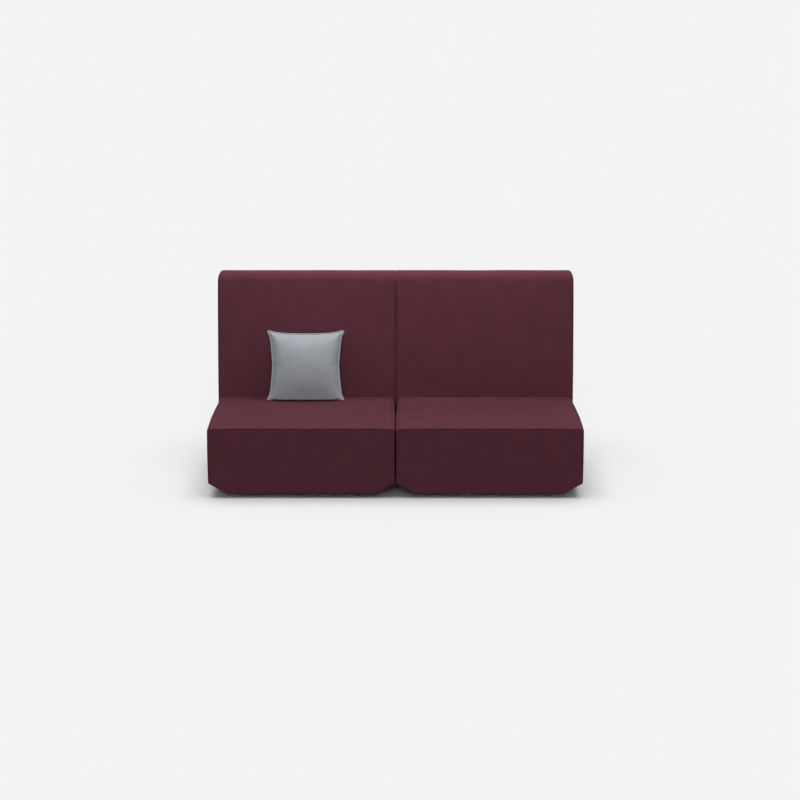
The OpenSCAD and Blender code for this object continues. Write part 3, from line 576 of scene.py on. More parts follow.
def ripple(points, wavelength, amount, phase=0.0):
    """Slow unevenness of cloth over padding, the same on every run."""
    x, y, z = (points[..., k] * 2 * math.pi / wavelength for k in range(3))
    wave = np.sin(x + 1.3 * y + phase) * np.cos(1.1 * z - 0.7 * y + 2 * phase)
    return amount * (wave + 0.5 * np.sin(1.7 * x - 2.3 * z + 3 * phase)) / 1.5


print("a corner of radius 1 in two steps:",
      np.round(rounded_corner((0, 2), (0, 0), (2, 0), 1, 2), 2).tolist())

# %% [markdown]
# A finished grid of points becomes a piece: a mesh with its finish, which rides on a body
# and stands for the frame's plain solid. A cover starts as a sheet with no thickness, like
# cut cloth, and its wall is added inwards at the end, so that its outer side stays put.

# %% Pieces from points
cloth_t = 0.003
sharp_edge = math.radians(60)


def new_piece(name, points, faces, finish, body, replaced):
    """A smooth-shaded mesh that rides on a body and stands for nodes of the frame."""
    mesh = bpy.data.meshes.new(name)
    mesh.from_pydata([tuple(p) for p in points], [], [tuple(f) for f in faces])
    mesh.materials.append(finishes[finish])
    mesh.shade_smooth()
    piece = bpy.data.objects.new(name, mesh)
    bpy.context.scene.collection.objects.link(piece)
    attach(piece, body)
    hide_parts(*replaced)
    return piece


def apply_modifiers(piece):
    """Turns a piece's modifiers into plain mesh."""
    bpy.context.view_layer.update()
    graph = bpy.context.evaluated_depsgraph_get()
    mesh = bpy.data.meshes.new_from_object(piece.evaluated_get(graph))
    piece.modifiers.clear()
    piece.data = mesh


def thicken(piece):
    """Gives a one-sided sheet its inner side and closes its edges."""
    wall = piece.modifiers.new("wall", "SOLIDIFY")
    wall.thickness = cloth_t
    wall.offset = -1
    wall.use_even_offset = False
    apply_modifiers(piece)
    piece.data.set_sharp_from_angle(angle=sharp_edge)


def face_outwards(points, faces):
    """Turns all faces over if the sheet encloses its volume inside out."""
    a, b, c = (points[[f[k] for f in faces]] for k in (0, 1, 2))
    d = points[[f[-1] for f in faces]]
    from_middle = a - points.mean(axis=0)
    areas = np.cross(b - a, c - a) + np.cross(c - a, d - a)
    volume = np.einsum("ij,ij->", areas, from_middle)
    return faces if volume > 0 else [f[::-1] for f in faces]


print("the cloth of the covers is", cloth_t, "m thick")

# %% [markdown]
# The sizes come from the frame where it can be asked, and are otherwise the builder's own:
# the backrest leans back 8.4 degrees, and the seat's lower side edges are cut on a slant.
# The cloth turns under the block in a hem 5 mm wide. Seat and backrest stand 1 mm apart,
# and the two modules reach out to each other until a hair's width is left between them.

# %% Sizes of a module
seat_low, seat_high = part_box("left_seat_cover")
back_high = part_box("left_back_cover")[1]
module_middle = (seat_low.x + seat_high.x) / 2
half_w = (seat_high.x - seat_low.x) / 2
floor_gap = seat_low.z
seat_crown = 0.004
seat_h = seat_high.z - seat_crown
seat_depth = 0.788
rake = math.radians(8.4)
seat_back_gap = 0.001
slant_w = 0.103
slant_h = 0.057
above_slant = 0.10
hem_w = 0.0052
hem_drop = 0.0006
module_clear = 0.00015
contact_reach = abs(module_middle) - half_w - module_clear
print(f"a module is {2 * half_w:.4f} m wide and its seat {seat_h:.3f} m high")

# %% [markdown]
# A sewn seam draws the cloth down into the foam, and the foam swells up on both sides of
# it. A tight stitch also gathers the cloth beside it in fine puckers, 13 mm apart. Both are
# formulas of the distance from the seam, so each cover can lay them along its own seams.

# %% Seams
seam_half_w = 0.0024
seam_depth = 0.0042
seam_swell = 0.0006
pucker_h = 0.00035
pucker_gap = 0.013


def seam_groove(distance):
    """How deep a sewn seam draws the cloth in, and how it swells on both sides of it."""
    groove = seam_depth * np.exp(-np.abs(distance / seam_half_w) ** 3)
    swell = seam_swell * np.exp(-((np.abs(distance) - 0.009) / 0.005) ** 2)
    return groove - swell


def puckers(distance, along):
    """Fine gathers that a tight stitch leaves beside a seam."""
    reach = np.exp(-np.abs(distance) / 0.009) * (1 - np.exp(-(distance / 0.002) ** 2))
    turn = 2 * math.pi * along / pucker_gap + 3 * np.sin(along * 31)
    return pucker_h * reach * np.sin(turn)


print(f"a seam draws the cloth in by {seam_groove(0) * 1000:.1f} mm")

# %% [markdown]
# The seat cover is a sleeve over the seat block, with a front panel. Its top panel is sewn
# in: one seam lies in a deep crease just under the front edge, and one runs along each
# side, about 15 mm in from the edge. Each cross-section is half an outline that is
# mirrored; the outlines are placed one behind the other, up to the backrest.

# %% Seat outline
seat_edge_r = 0.016
seat_seam_in = 0.0148
slant_low_r = 0.010
slant_high_r = 0.011
seam_offsets = np.array([0.0008, 0.0016, 0.0024, 0.0036, 0.0056, 0.009, 0.013])


def seat_half_outline(w, r):
    """Right half of the seat's cross-section, from the middle of its underside to its top.

    Also gives the numbers of the points where the hem ends, where the slant turns upright,
    and where the upper edge begins.
    """
    low_x, low_z = half_w - slant_w, floor_gap - hem_drop
    low, side = (low_x, low_z), (w, low_z + (w - low_x) * slant_h / slant_w)
    seam_q = r * math.pi / 2 + seat_seam_in - r
    if r > seat_seam_in:
        seam_q = r * math.acos((r - seat_seam_in) / r)
    end_q = r * math.pi / 2 + w - r
    q = np.concatenate([
        np.linspace(0, seam_q - seam_offsets[-1], 8)[1:],
        seam_q - seam_offsets[-2::-1], [seam_q], seam_q + seam_offsets,
        np.linspace(seam_q + seam_offsets[-1], end_q, 30)[1:],
    ])
    angle = np.minimum(q / r, math.pi / 2)
    upper = np.stack([w - r + r * np.cos(angle) - np.maximum(q - r * math.pi / 2, 0),
                      seat_h - r + r * np.sin(angle)], axis=-1)
    low_arc = rounded_corner((0, low_z), low, side, slant_low_r, 5)
    side_arc = rounded_corner(low, side, (w, seat_h), slant_high_r, 8)
    slant = np.linspace(low_arc[-1], side_arc[0], 8)[1:-1]
    upright = np.linspace(side_arc[-1], (w, seat_h - r), 16)[1:]
    corner = len(upper)
    under = corner - len(low_arc) - len(slant) - len(side_arc) // 2
    base = np.stack([np.linspace(0, low_x - hem_w, under), np.full(under, low_z)], axis=-1)
    half = np.concatenate([base, low_arc, slant, side_arc, upright, upper])
    return half, under - 1, corner, len(half) - len(upper) - 1


def whole_outline(half):
    """Closed outline from its right half, and the direction out of it at each point."""
    outline = np.concatenate([half, half[-2:0:-1] * (-1, 1)])
    run = np.roll(outline, -1, axis=0) - np.roll(outline, 1, axis=0)
    outward = np.stack([run[:, 1], -run[:, 0]], axis=1)
    return outline, outward / np.linalg.norm(outward, axis=1)[:, None]


half, seat_hem, seat_corner, seat_side_top = seat_half_outline(half_w, seat_edge_r)
print("points round half a seat:", len(half))

# %% [markdown]
# Foam swells where nothing holds it. The seat's top is 4 mm higher in the middle and level
# again at the backrest. The outer side stands out by up to 5 mm, while the inner side is
# pushed flat against the other seat. The cloth on top is also a little uneven, as it is
# over any foam.

# %% Swell of the seat
seat_side_swell = 0.0033
uneven_h = 0.0009
seat_wave = 0.47


def seat_rise(share, x):
    """How far the seat's foam stands above its edge, at a share of the depth and at x."""
    fall = np.cos(math.pi / 2 * np.maximum(0, 2 * share - 1))
    crown = seat_crown * fall * (0.75 + 0.25 * np.sin(math.pi * share))
    return crown * (1 - np.abs(x / half_w) ** 10)


def seat_side_push(x, y, z, w, share, sign):
    """How far the outer side stands out, and how far the inner side leans over."""
    swell = 0.0012 + seat_side_swell * math.sin(math.pi * share) ** 0.7
    swell = swell + 0.0007 * np.sin(math.pi * np.clip((z - above_slant) / 0.28, 0, 1))
    swell = swell * eased((z - 0.09) / 0.06) * (x * sign > 0) * np.abs(x / w) ** 8
    meeting = eased((y / seat_depth - 0.02) / 0.12) * eased((seat_h - z - 0.004) / 0.03)
    meeting = meeting * eased((z - 0.084) / 0.012)
    meeting = meeting * (x * sign < 0) * (np.abs(x) > w - 0.002)
    return sign * (swell - contact_reach * meeting)


print(f"the seat's middle stands {seat_rise(0.5, 0.0) * 1000:.1f} mm above its edges")

# %% [markdown]
# Each row of the seat is drawn in along its own outward direction. The first rows lie on
# the front panel and round its edge. At the top edge they follow the crease of the seam
# instead: in between two lips, which throws the dark line that the photograph shows.
# Behind them the rows dip into the side seams and turn in where the backrest begins.

# %% Rows of the seat cover
front_edge_r = 0.005
upright_edge_r = 0.012
seat_rear_edge_r = 0.024
side_draw = 0.0060
tuck_r = 0.006
tuck_depth = 0.004
edge_turns = np.radians([0, 0, 0, 6, 16, 28, 42, 58, 74, 90])
edge_flat = np.array([1.2, 0.8, 0.4, 0, 0, 0, 0, 0, 0, 0]) / 1000
crease_in = np.array([16.0, 10.0, 7.0, 5.4, 4.8, 4.1, 3.3, 2.6, 1.0, 0]) / 1000
crease_y = np.array([-1.6, -1.5, -1.0, -0.2, 3.0, 4.1, 3.0, -0.8, -1.6, 0.6]) / 1000
seat_shares = np.concatenate([
    [0.0046, 0.0078, 0.014, 0.025], np.linspace(0.040, 0.975, 40),
    [0.984, 0.990, 0.9935, 0.996, 0.998, 0.9993, 1.0],
])


def seat_row(share, step, phase, sign):
    """One row of points at a share of the depth, or at a step round the front edge."""
    w = half_w - side_draw * eased((share - 0.35) / 0.65)
    r = seat_edge_r + (seat_rear_edge_r - seat_edge_r) * eased(share)
    outline, outward = whole_outline(seat_half_outline(w, r)[0])
    x, z = outline.T
    upright = eased((z - above_slant) / 0.03) * eased((seat_h - z) / 0.016)
    edge = front_edge_r + (upright_edge_r - front_edge_r) * upright
    rear = seat_depth + (z - seat_h) * math.tan(rake) - seat_back_gap / 2
    turn = edge_turns[step]
    top = z > seat_h - r - 1e-6
    to_side_seam = np.abs(x) - (w - seat_seam_in)
    creased = eased(-to_side_seam / 0.007) * (z > seat_h - 0.001)
    inset = edge * (1 - math.sin(turn)) + edge_flat[step]
    inset = inset + (crease_in[step] - inset) * creased
    y = edge * (1 - math.cos(turn))
    y = y + (crease_y[step] - y) * creased
    y = y + (rear - y) * share
    groove = np.where(top, seam_groove(to_side_seam) * eased(share / 0.010), 0)
    gather = np.where(top, puckers(to_side_seam, y) * eased(share / 0.03), 0)
    gather = gather + puckers(y + inset, x) * creased
    tuck = 1 - np.clip((rear - y) / tuck_r, 0, 1)
    tuck = tuck_depth * (1 - np.sqrt(1 - tuck ** 2))
    level = np.stack([x, y, z], axis=1)
    uneven = ripple(level, seat_wave, uneven_h, phase) * eased((z - floor_gap) / 0.08)
    uneven = uneven * eased(share / 0.08) * eased((1 - share) / 0.05)
    inset = inset + tuck + groove - gather - uneven
    push = seat_side_push(x, y, z, w, share, sign)
    level[:, 0] += push - outward[:, 0] * inset
    level[:, 2] += np.where(top, seat_rise(share, x), 0) - outward[:, 1] * inset
    level[:, 1] = y
    return level


def seat_rows(phase, sign):
    """All rows, from the front panel's rim to the backrest."""
    rows = [seat_row(0, step, phase, sign) for step in range(len(edge_turns))]
    return np.array(rows + [seat_row(share, -1, phase, sign) for share in seat_shares])


print("rows in a seat cover:", len(edge_turns) + len(seat_shares))

# %% [markdown]
# The rows are joined to a sleeve, and the front panel fills the first row. Under the block
# only the hem and the front edge have cloth, because the rest is open to the dust cover.
# Points that no face uses are dropped, and the cover moves from the middle to its module.

# %% Seat covers
def close_panel(points, numbers, corners, swell, direction):
    """Fills a closed row of points with a swelling panel. The panel has four corners."""
    count = len(numbers)
    chains = []
    for start, end in zip(corners, corners[1:] + corners[:1]):
        steps = (end - start) % count
        chains.append([numbers[(start + k) % count] for k in range(steps + 1)])
    bottom, right, top, left = chains[0], chains[1], chains[2][::-1], chains[3][::-1]
    panel = filled_panel(points[bottom], points[top], points[left], points[right])
    u = np.linspace(0, 1, len(bottom))[None, :]
    v = np.linspace(0, 1, len(left))[:, None]
    full = eased(u / 0.12) * eased((1 - u) / 0.12) * eased(v / 0.15) * eased((1 - v) / 0.15)
    panel = panel + full[..., None] * swell * np.array(direction)
    numbering = np.zeros(panel.shape[:2], int)
    numbering[0], numbering[-1] = bottom, top
    numbering[:, 0], numbering[:, -1] = left, right
    inside = panel[1:-1, 1:-1].reshape(-1, 3)
    numbering[1:-1, 1:-1] = len(points) + np.arange(len(inside)).reshape(
        panel.shape[0] - 2, panel.shape[1] - 2)
    return np.concatenate([points, inside]), grid_faces(numbering)


def finish_cover(name, points, faces, side, sign, replaced):
    """Drops unused points, moves the cover to its module and gives the cloth its wall."""
    used = np.unique(np.concatenate([np.ravel(f) for f in faces]))
    renumber = np.full(len(points), -1)
    renumber[used] = np.arange(len(used))
    points = points[used]
    faces = face_outwards(points, [tuple(renumber[list(f)]) for f in faces])
    points = points + (sign * abs(module_middle), front_y, 0)
    piece = new_piece(name, points, faces, "sofa_fabric", f"{side}_module",
                      [f"{side}_{replaced}"])
    thicken(piece)
    return piece


def make_seat_cover(side, sign, phase):
    """The cover of one seat: sleeve, front panel and hem."""
    rows = seat_rows(phase, sign)
    count = rows.shape[1]
    points = rows.reshape(-1, 3)
    numbers = np.arange(len(points)).reshape(len(rows), count)
    front_hem_rows = len(edge_turns) - 1
    ring = np.concatenate([numbers, numbers[:, :1]], axis=1)

    def keep(i, j):
        under = j < seat_hem or j >= count - seat_hem
        return not under or i < front_hem_rows

    faces = grid_faces(ring, keep)
    corners = [count - seat_corner, seat_corner, seat_side_top, count - seat_side_top]
    points, panel = close_panel(points, numbers[0], corners, 0.0015, (0, -1, 0))
    return finish_cover(f"{side}_seat_upholstery", points,
                        faces + [f[::-1] for f in panel], side, sign, "seat_cover")


seat_covers = [make_seat_cover("left", -1, 0.4), make_seat_cover("right", 1, 2.1)]
print("faces in a seat cover:", [len(c.data.polygons) for c in seat_covers])

# %% [markdown]
# The backrest's cover is a sleeve too, but it runs sideways: every cross-section is the
# backrest's profile, a slab 150 mm thick whose top is rolled to a radius of 60 mm. It is
# worked out in lengths along the slope, because that is how cloth and foam are cut. In
# front the cover stops a little below the seat's surface, where nobody sees it.

# %% Backrest profile
back_len = 0.714
back_t = 0.150
back_top_r = 0.060
window_z = seat_h - 0.060
low_steps, wall_steps, roll_steps = 9, 44, 28
front_top, rear_top = wall_steps, wall_steps + roll_steps
rear_low = 2 * wall_steps + roll_steps


def on_slope(u, n):
    """Depth and height of the point at length u along the slope and n behind its front."""
    return np.stack([seat_depth + u * math.sin(rake) + n * math.cos(rake),
                     seat_h + u * math.cos(rake) - n * math.sin(rake)], axis=-1)


def length_at(z, n):
    """Length along the slope at height z and n behind its front."""
    return (z - seat_h + n * math.sin(rake)) / math.cos(rake)


def back_profile(x, e):
    """Closed outline of the backrest at x, drawn in by e, with each point's length u."""
    slant_l = math.hypot(slant_w, slant_h)
    low_z = floor_gap - hem_drop
    slant_z = low_z + ((abs(x) - half_w + slant_w) * slant_h + e * slant_l) / slant_w
    z_low = max(low_z, slant_z)
    straight = back_len - back_top_r
    front_n, rear_n = seat_back_gap / 2 + e, back_t - e
    low_z = np.linspace(z_low, window_z, low_steps + 1)[:-1]
    front_u = np.concatenate([
        length_at(low_z, front_n),
        np.linspace(length_at(window_z, front_n), straight, wall_steps + 1 - low_steps)])
    rear_u = np.linspace(straight, length_at(z_low, rear_n), wall_steps + 1)
    turn = np.radians(np.linspace(0, 90, 13))
    roll_r = back_top_r - e
    roll_u = straight + roll_r * np.sin(turn)
    roll_front = on_slope(roll_u, seat_back_gap / 2 + back_top_r - roll_r * np.cos(turn))
    roll_rear = on_slope(roll_u, back_t - back_top_r + roll_r * np.cos(turn))
    crest = np.linspace(roll_front[-1], roll_rear[-1], 5)[1:-1]
    front = on_slope(front_u, np.full_like(front_u, front_n))
    rear = on_slope(rear_u, np.full_like(rear_u, rear_n))
    under = np.linspace(rear[-1], front[0], roll_steps + 1)[1:-1]
    roll = np.concatenate([roll_front[1:], crest, roll_rear[::-1][:-1]])
    u = np.concatenate([front_u, np.full(len(roll), straight), rear_u,
                        np.full(len(under), -1.0)])
    return np.concatenate([front, roll, rear, under]), u


outline, u = back_profile(0, 0)
print("points round the backrest:", len(outline))

# %% [markdown]
# The profiles stand beside each other from one side to the other. The last ones turn round
# the side edge and lie close together there, because a seam joins the side panel to the
# sleeve. The outer edge is soft. The inner edge is pressed flat against the other backrest,
# so it keeps only a tight bend.

# %% Places of the profiles
back_outer_edge_r = 0.012
back_inner_edge_r = 0.003
edge_shares = np.array([0, 0.16, 0.32, 0.48, 0.60, 0.69, 0.75, 0.80, 0.84, 0.88, 0.93, 1.0])
in_from_edge = np.array([1.2, 2.0, 2.8, 4.0, 6.0, 10, 18, 30, 48]) / 1000


def half_places(r):
    """Where the rows stand on one half of the backrest, and how far each is drawn in."""
    angles = edge_shares * math.pi / 2
    inner = half_w - r - in_from_edge
    x = np.concatenate([half_w - r * (1 - np.cos(angles)), inner,
                        np.linspace(inner[-1], 0, 26)[1:]])
    e = np.concatenate([r * (1 - np.sin(angles)), np.zeros(len(x) - len(angles))])
    return list(zip(x, e))


def back_places(sign):
    """Places from the left side to the right side; sign is where the outer side lies."""
    outer, inner = half_places(back_outer_edge_r), half_places(back_inner_edge_r)
    left, right = (outer, inner) if sign < 0 else (inner, outer)
    return [(-x, e) for x, e in left] + right[-2::-1]


print("rows in a backrest cover:", len(back_places(1)))

# %% [markdown]
# Between its side seams the backrest's front swells by 9 mm. The seams lie some 5 mm in
# from the edges. The roll's ends droop at their corners, the outer one most, and the seams
# are shallow there, because the cloth is stretched tightest over the roll.

# %% Rows of the backrest cover
back_seam_in = 0.0055
back_crown = 0.009
back_swell = 0.0027
back_wave = 0.53
outer_corner = (0.026, 0.055)
inner_corner = (0.010, 0.012)
roll_tight_h = 0.075
roll_seam_share = 0.25


def length_from_side(from_side, r):
    """Length along the cloth from the side plane, over an edge of radius r."""
    angle = math.acos(float(np.clip(1 - from_side / r, 0, 1)))
    return angle * r + max(0, from_side - r)


def back_bulge(u):
    """Share of the backrest's swell at length u along its slope."""
    return 1 - np.abs(2 * np.clip(u / back_len, 0, 1) - 1) ** 2.5


def back_row(x, e, phase, sign):
    """One profile of the backrest at x, with its swell, its seam and its soft corner."""
    outline, u = back_profile(x, e)
    y, z = outline.T
    run = np.roll(outline, -1, axis=0) - np.roll(outline, 1, axis=0)
    outward = np.stack([-run[:, 1], run[:, 0]], axis=1)
    outward /= np.linalg.norm(outward, axis=1)[:, None]
    outer = x * sign > 0
    edge_r = back_outer_edge_r if outer else back_inner_edge_r
    from_side = half_w - abs(x)
    to_seam = length_from_side(from_side, edge_r) - length_from_side(back_seam_in, edge_r)
    along = np.cumsum(np.linalg.norm(run, axis=1)) / 2
    wide = (abs(x) / half_w) ** 4
    bulge = back_bulge(u)
    level = np.stack([np.full_like(y, x), y, z], axis=1)
    shown = eased((z - above_slant) / 0.05)
    push = ripple(level, back_wave, uneven_h, phase) * eased(from_side / 0.08) * shown
    push = push + back_crown * bulge * (1 - wide) * (outward[:, 0] < -0.5)
    on_roll = eased((z - back_high.z + roll_tight_h) / 0.03)
    depth = seam_groove(to_seam) * (1 - (1 - roll_seam_share) * on_roll)
    push = push + (puckers(to_seam, along) - depth) * shown
    corner_w, corner_h = outer_corner if outer else inner_corner
    above = np.clip((z - back_high.z + corner_h) / corner_h, 0, 1)
    draw = corner_w * (1 - np.sqrt(1 - above ** 2))
    swell = back_swell * (0.5 + 0.5 * bulge) if outer else contact_reach
    level[:, 0] = x + np.sign(x) * wide * (swell - draw)
    level[:, 1] += outward[:, 0] * push
    level[:, 2] += outward[:, 1] * push
    return level


crown_mm = 1000 * back_crown * back_bulge(back_len / 2)
print(f"the backrest's front swells by {crown_mm:.0f} mm")

# %% [markdown]
# The profiles are joined to a sleeve, and a panel closes each side. Below the seat's
# surface the front is left open, and under the block only a hem is kept.

# %% Backrest covers
def make_back_cover(side, sign, phase):
    """The cover of one backrest: sleeve, two side panels and a hem."""
    places = back_places(sign)
    rows = np.array([back_row(x, e, phase, sign) for x, e in places])
    count = rows.shape[1]
    points = rows.reshape(-1, 3)
    numbers = np.arange(len(points)).reshape(len(rows), count)
    ring = np.concatenate([numbers, numbers[:, :1]], axis=1)

    def keep(i, j):
        x = min(abs(places[i][0]), abs(places[i + 1][0]))
        if j >= rear_low:
            return x > half_w - slant_w - hem_w
        return j >= low_steps or x > half_w - back_outer_edge_r - 0.004

    faces = grid_faces(ring, keep)
    corners = [rear_low, 0, front_top, rear_top]
    points, first = close_panel(points, numbers[0], corners, 0.00015, (-1, 0, 0))
    points, last = close_panel(points, numbers[-1], corners, 0.00015, (1, 0, 0))
    return finish_cover(f"{side}_backrest_upholstery", points,
                        faces + [f[::-1] for f in first] + last, side, sign, "back_cover")


back_covers = [make_back_cover("left", -1, 1.2), make_back_cover("right", 1, 3.3)]
print("faces in a backrest cover:", [len(c.data.polygons) for c in back_covers])

# %% [markdown]
# The cushion is two cotton panels sewn together with a flat stitched edge, and filled with
# fibre. Filling swells the panels and draws the sides in, while the corners stay out as
# ears. It is made the way the real one gets its shape: a cloth simulation blows air into a
# sewn case. The seam hardly stretches on the real one, so its outline is drawn and pinned.

# %% Outline of the cushion's seam
cushion_w = 0.440
cushion_h = 0.396
flat_edge_w = 0.007
side_half_w = 0.1809
top_dip = 0.024
bottom_rise = 0.024
columns, lines = 60, 54


def smoothed_ring(ring, times):
    """A closed row of points whose corners are eased by averaging neighbours."""
    for _ in range(times):
        ring = ring / 2 + (np.roll(ring, 1, axis=0) + np.roll(ring, -1, axis=0)) / 4
    return ring


def seam_chains():
    """Bottom, top, left and right chains of the seam, in the cushion's own plane."""
    a = np.linspace(-1, 1, columns + 1)
    b = np.linspace(-1, 1, lines + 1)
    half = side_half_w + 0.0175 * np.abs(b) ** 1.25 + 0.0195 * np.abs(b) ** 12
    corner = half[0]
    dip = top_dip * (1 - np.abs(a) ** 6) * (1 - 0.35 * a * a)
    top = cushion_h - flat_edge_w + 0.002 - dip
    low = -0.001 + bottom_rise * (1 - a ** 4)
    height = np.linspace(low[0], top[0], lines + 1)
    flat = np.zeros_like
    bottom = np.stack([a * corner, flat(a), low], axis=1)
    upper = np.stack([a * corner, flat(a), top], axis=1)
    right = np.stack([half, flat(b), height], axis=1)
    left = right * (-1, 1, 1)
    ring = np.concatenate([bottom[:-1], right[:-1], upper[:0:-1], left[:0:-1]])
    ring = smoothed_ring(ring, 3)
    ring = np.concatenate([ring, ring[:1]])
    marks = np.cumsum([0, columns, lines, columns, lines])
    parts = [ring[marks[k]:marks[k + 1] + 1] for k in range(4)]
    return parts[0], parts[2][::-1], parts[3][::-1], parts[1]


bottom, top, left, right = seam_chains()
print("seam width and height:", np.round(right[:, 0].max() * 2, 3), np.round(top[0, 2], 3))

# %% [markdown]
# Front and rear panels share the points of the seam, so they are one closed case. They
# start a little bulged, because air pressure needs a volume to push from, and not quite
# even, as fibre never lies evenly.

# %% Sewn case
cushion_t = 0.152
first_bulge = 0.94


def sewn_case():
    """Points and faces of the closed case, and the numbers of its front and rear grids."""
    plane = filled_panel(bottom, top, left, right)
    a = np.linspace(-1, 1, columns + 1)[None, :]
    b = np.linspace(-1, 1, lines + 1)[:, None]
    full = ((1 - np.abs(a) ** 2.6) * (1 - np.abs(b) ** 2.0)) ** 0.58
    uneven = 0.0009 * np.sin(7 * a + 3 * b) * np.cos(5 * b - 2 * a)
    bulge = (first_bulge * cushion_t / 2 + uneven) * full
    front, rear = plane.copy(), plane.copy()
    front[..., 1] = -bulge
    rear[..., 1] = bulge
    front_numbers = np.arange(a.size * b.size).reshape(b.size, a.size)
    rear_numbers = front_numbers.copy()
    inside = (slice(1, -1), slice(1, -1))
    inside_points = rear[inside].reshape(-1, 3)
    rear_numbers[inside] = front_numbers.size + np.arange(len(inside_points)).reshape(
        lines - 1, columns - 1)
    points = np.concatenate([front.reshape(-1, 3), inside_points])
    faces = grid_faces(front_numbers) + [f[::-1] for f in grid_faces(rear_numbers)]
    return points, faces, front_numbers, rear_numbers


def ring_numbers(grid):
    """Point numbers along the seam, once round, anticlockwise from the front."""
    return np.concatenate([grid[0, :-1], grid[:-1, -1], grid[-1, :0:-1], grid[:0:-1, 0]])


case_points, case_faces, front_grid, rear_grid = sewn_case()
seam_ring = ring_numbers(front_grid)
print("points of the case:", len(case_points), "of them on the seam:", len(seam_ring))

# %% [markdown]
# The simulation runs for 20 frames without gravity, with cloth that wants to be 1% larger,
# as it is cut for a filling. No point may move further than 14 mm. Full fibre holds its
# case smoother than air does, so the small wrinkles are evened out afterwards by averaging,
# and the case is brought to a thickness of 152 mm.

# %% Inflation
case_frames = 20
case_reach = 0.014


def inflate(points, faces, pinned):
    """Blows up a closed case whose pinned points stay, and gives the new points."""
    mesh = bpy.data.meshes.new("case")
    mesh.from_pydata([tuple(p) for p in points], [], [tuple(f) for f in faces])
    case = bpy.data.objects.new("case", mesh)
    bpy.context.scene.collection.objects.link(case)
    seam = case.vertex_groups.new(name="seam")
    seam.add([int(k) for k in pinned], 1.0, "REPLACE")
    cloth = case.modifiers.new("inflation", "CLOTH")
    cloth.point_cache.frame_end = case_frames
    settings = cloth.settings
    settings.vertex_group_mass = "seam"
    settings.quality = 6
    settings.mass = 0.15
    settings.tension_stiffness = 40
    settings.compression_stiffness = 30
    settings.shear_stiffness = 15
    settings.bending_stiffness = 3
    settings.shrink_min = -0.010
    settings.use_pressure = True
    settings.uniform_pressure_force = 4
    settings.effector_weights.gravity = 0
    for number in range(1, case_frames + 1):
        bpy.context.scene.frame_set(number)
    apply_modifiers(case)
    blown = np.array([v.co for v in case.data.vertices])
    bpy.data.objects.remove(case)
    bpy.context.scene.frame_set(1)
    move = blown - points
    length = np.linalg.norm(move, axis=1)[:, None]
    return points + move * np.minimum(1, case_reach / np.maximum(length, 1e-9))


def evened(points, grid, times):
    """Takes small wrinkles out of one panel by averaging neighbours inside its seam."""
    panel = points[grid]
    for _ in range(times):
        beside = panel[1:-1, :-2] + panel[1:-1, 2:] + panel[:-2, 1:-1] + panel[2:, 1:-1]
        panel[1:-1, 1:-1] = panel[1:-1, 1:-1] / 2 + beside / 8
    points[grid] = panel
    return points


case_points = inflate(case_points, case_faces, seam_ring)
for grid in (front_grid, rear_grid):
    case_points = evened(case_points, grid, 6)
blown_t = case_points[:, 1].max() - case_points[:, 1].min()
case_points[:, 1] *= cushion_t / blown_t
print("thickness after the simulation:", round(float(blown_t), 4))

# %% [markdown]
# The photograph shows one small pleat at the middle of each side, where the filling pulls
# hardest. Low down, the filling sinks under its own weight: the panels bulge over the
# bottom seam, and the front panel turns in under itself, which puts its lowest part in the
# shade.

# %% Pleats and sag
pleat_half_w = 0.005
pleat_reach = 0.016
bottom_sag = 0.052
sag_reach = 0.080
turn_in = 0.35
turn_reach = 0.051


def pleated(points):
    """Draws a short crease into both panels at the middle of each side seam."""
    x, n, z = points.T
    middle = cushion_h * np.where(x > 0, 0.515, 0.505)
    in_seam = right[lines // 2, 0] - np.abs(x)
    fold = np.exp(-((z - middle - 0.5 * in_seam) / pleat_half_w) ** 2)
    fold = fold * eased(1 - in_seam / pleat_reach)
    swell = np.exp(-((np.abs(z - middle) - 0.014) / 0.008) ** 2)
    swell = swell * eased(1 - in_seam / 0.024)
    thick = n * (1 - 0.75 * fold + 0.12 * swell)
    return np.stack([x, thick, z], axis=1)


def sagged(points):
    """Lets the filling sink over the bottom seam and the front panel turn in under it."""
    x, n, z = points.T
    off_corner = 1 - np.clip(np.abs(x) / 0.205, 0, 1) ** 4
    share = (1 - np.exp(-np.abs(n) / 0.007)) * np.exp(-(np.maximum(z, 0) / sag_reach) ** 2)
    above_seam = np.maximum(z - 0.023, 0)
    turned = turn_in * np.exp(-(above_seam / turn_reach) ** 2)
    turned = turned * (1 - np.exp(-(n / 0.018) ** 2)) * off_corner * (n < 0)
    return np.stack([x, n * (1 - turned), z - bottom_sag * share * off_corner], axis=1)


case_points = sagged(pleated(case_points))
print("lowest point after sagging:", round(float(case_points[:, 2].min()), 4))

# %% [markdown]
# Then the cushion is put in its place: it leans back 13 degrees, rests on the seat and
# touches the backrest. Where it would sink into either, it is pressed flat, with a soft
# bend round the patch. On the seat the bend is wider away from the seam, as filling gives.

# %% Place and contact
cushion_lean = math.radians(13)
cushion_foot = np.array([-abs(module_middle) - 0.0025, front_y + 0.6892, seat_h + 0.0030])
up_cushion = np.array([0, math.sin(cushion_lean), math.cos(cushion_lean)])
off_cushion = np.array([0, math.cos(cushion_lean), -math.sin(cushion_lean)])
contact_soft = 0.003
seat_soft = 0.012
contact_gap = 0.0013


def in_place(points):
    """From the cushion's own axes to its place on the seat."""
    return (cushion_foot + points[:, :1] * (1, 0, 0) + points[:, 1:2] * off_cushion
            + points[:, 2:] * up_cushion)


def in_own_axes(points):
    """Back from the seat to the cushion's own axes."""
    moved = points - cushion_foot
    return np.stack([moved[:, 0], moved @ off_cushion, moved @ up_cushion], axis=1)


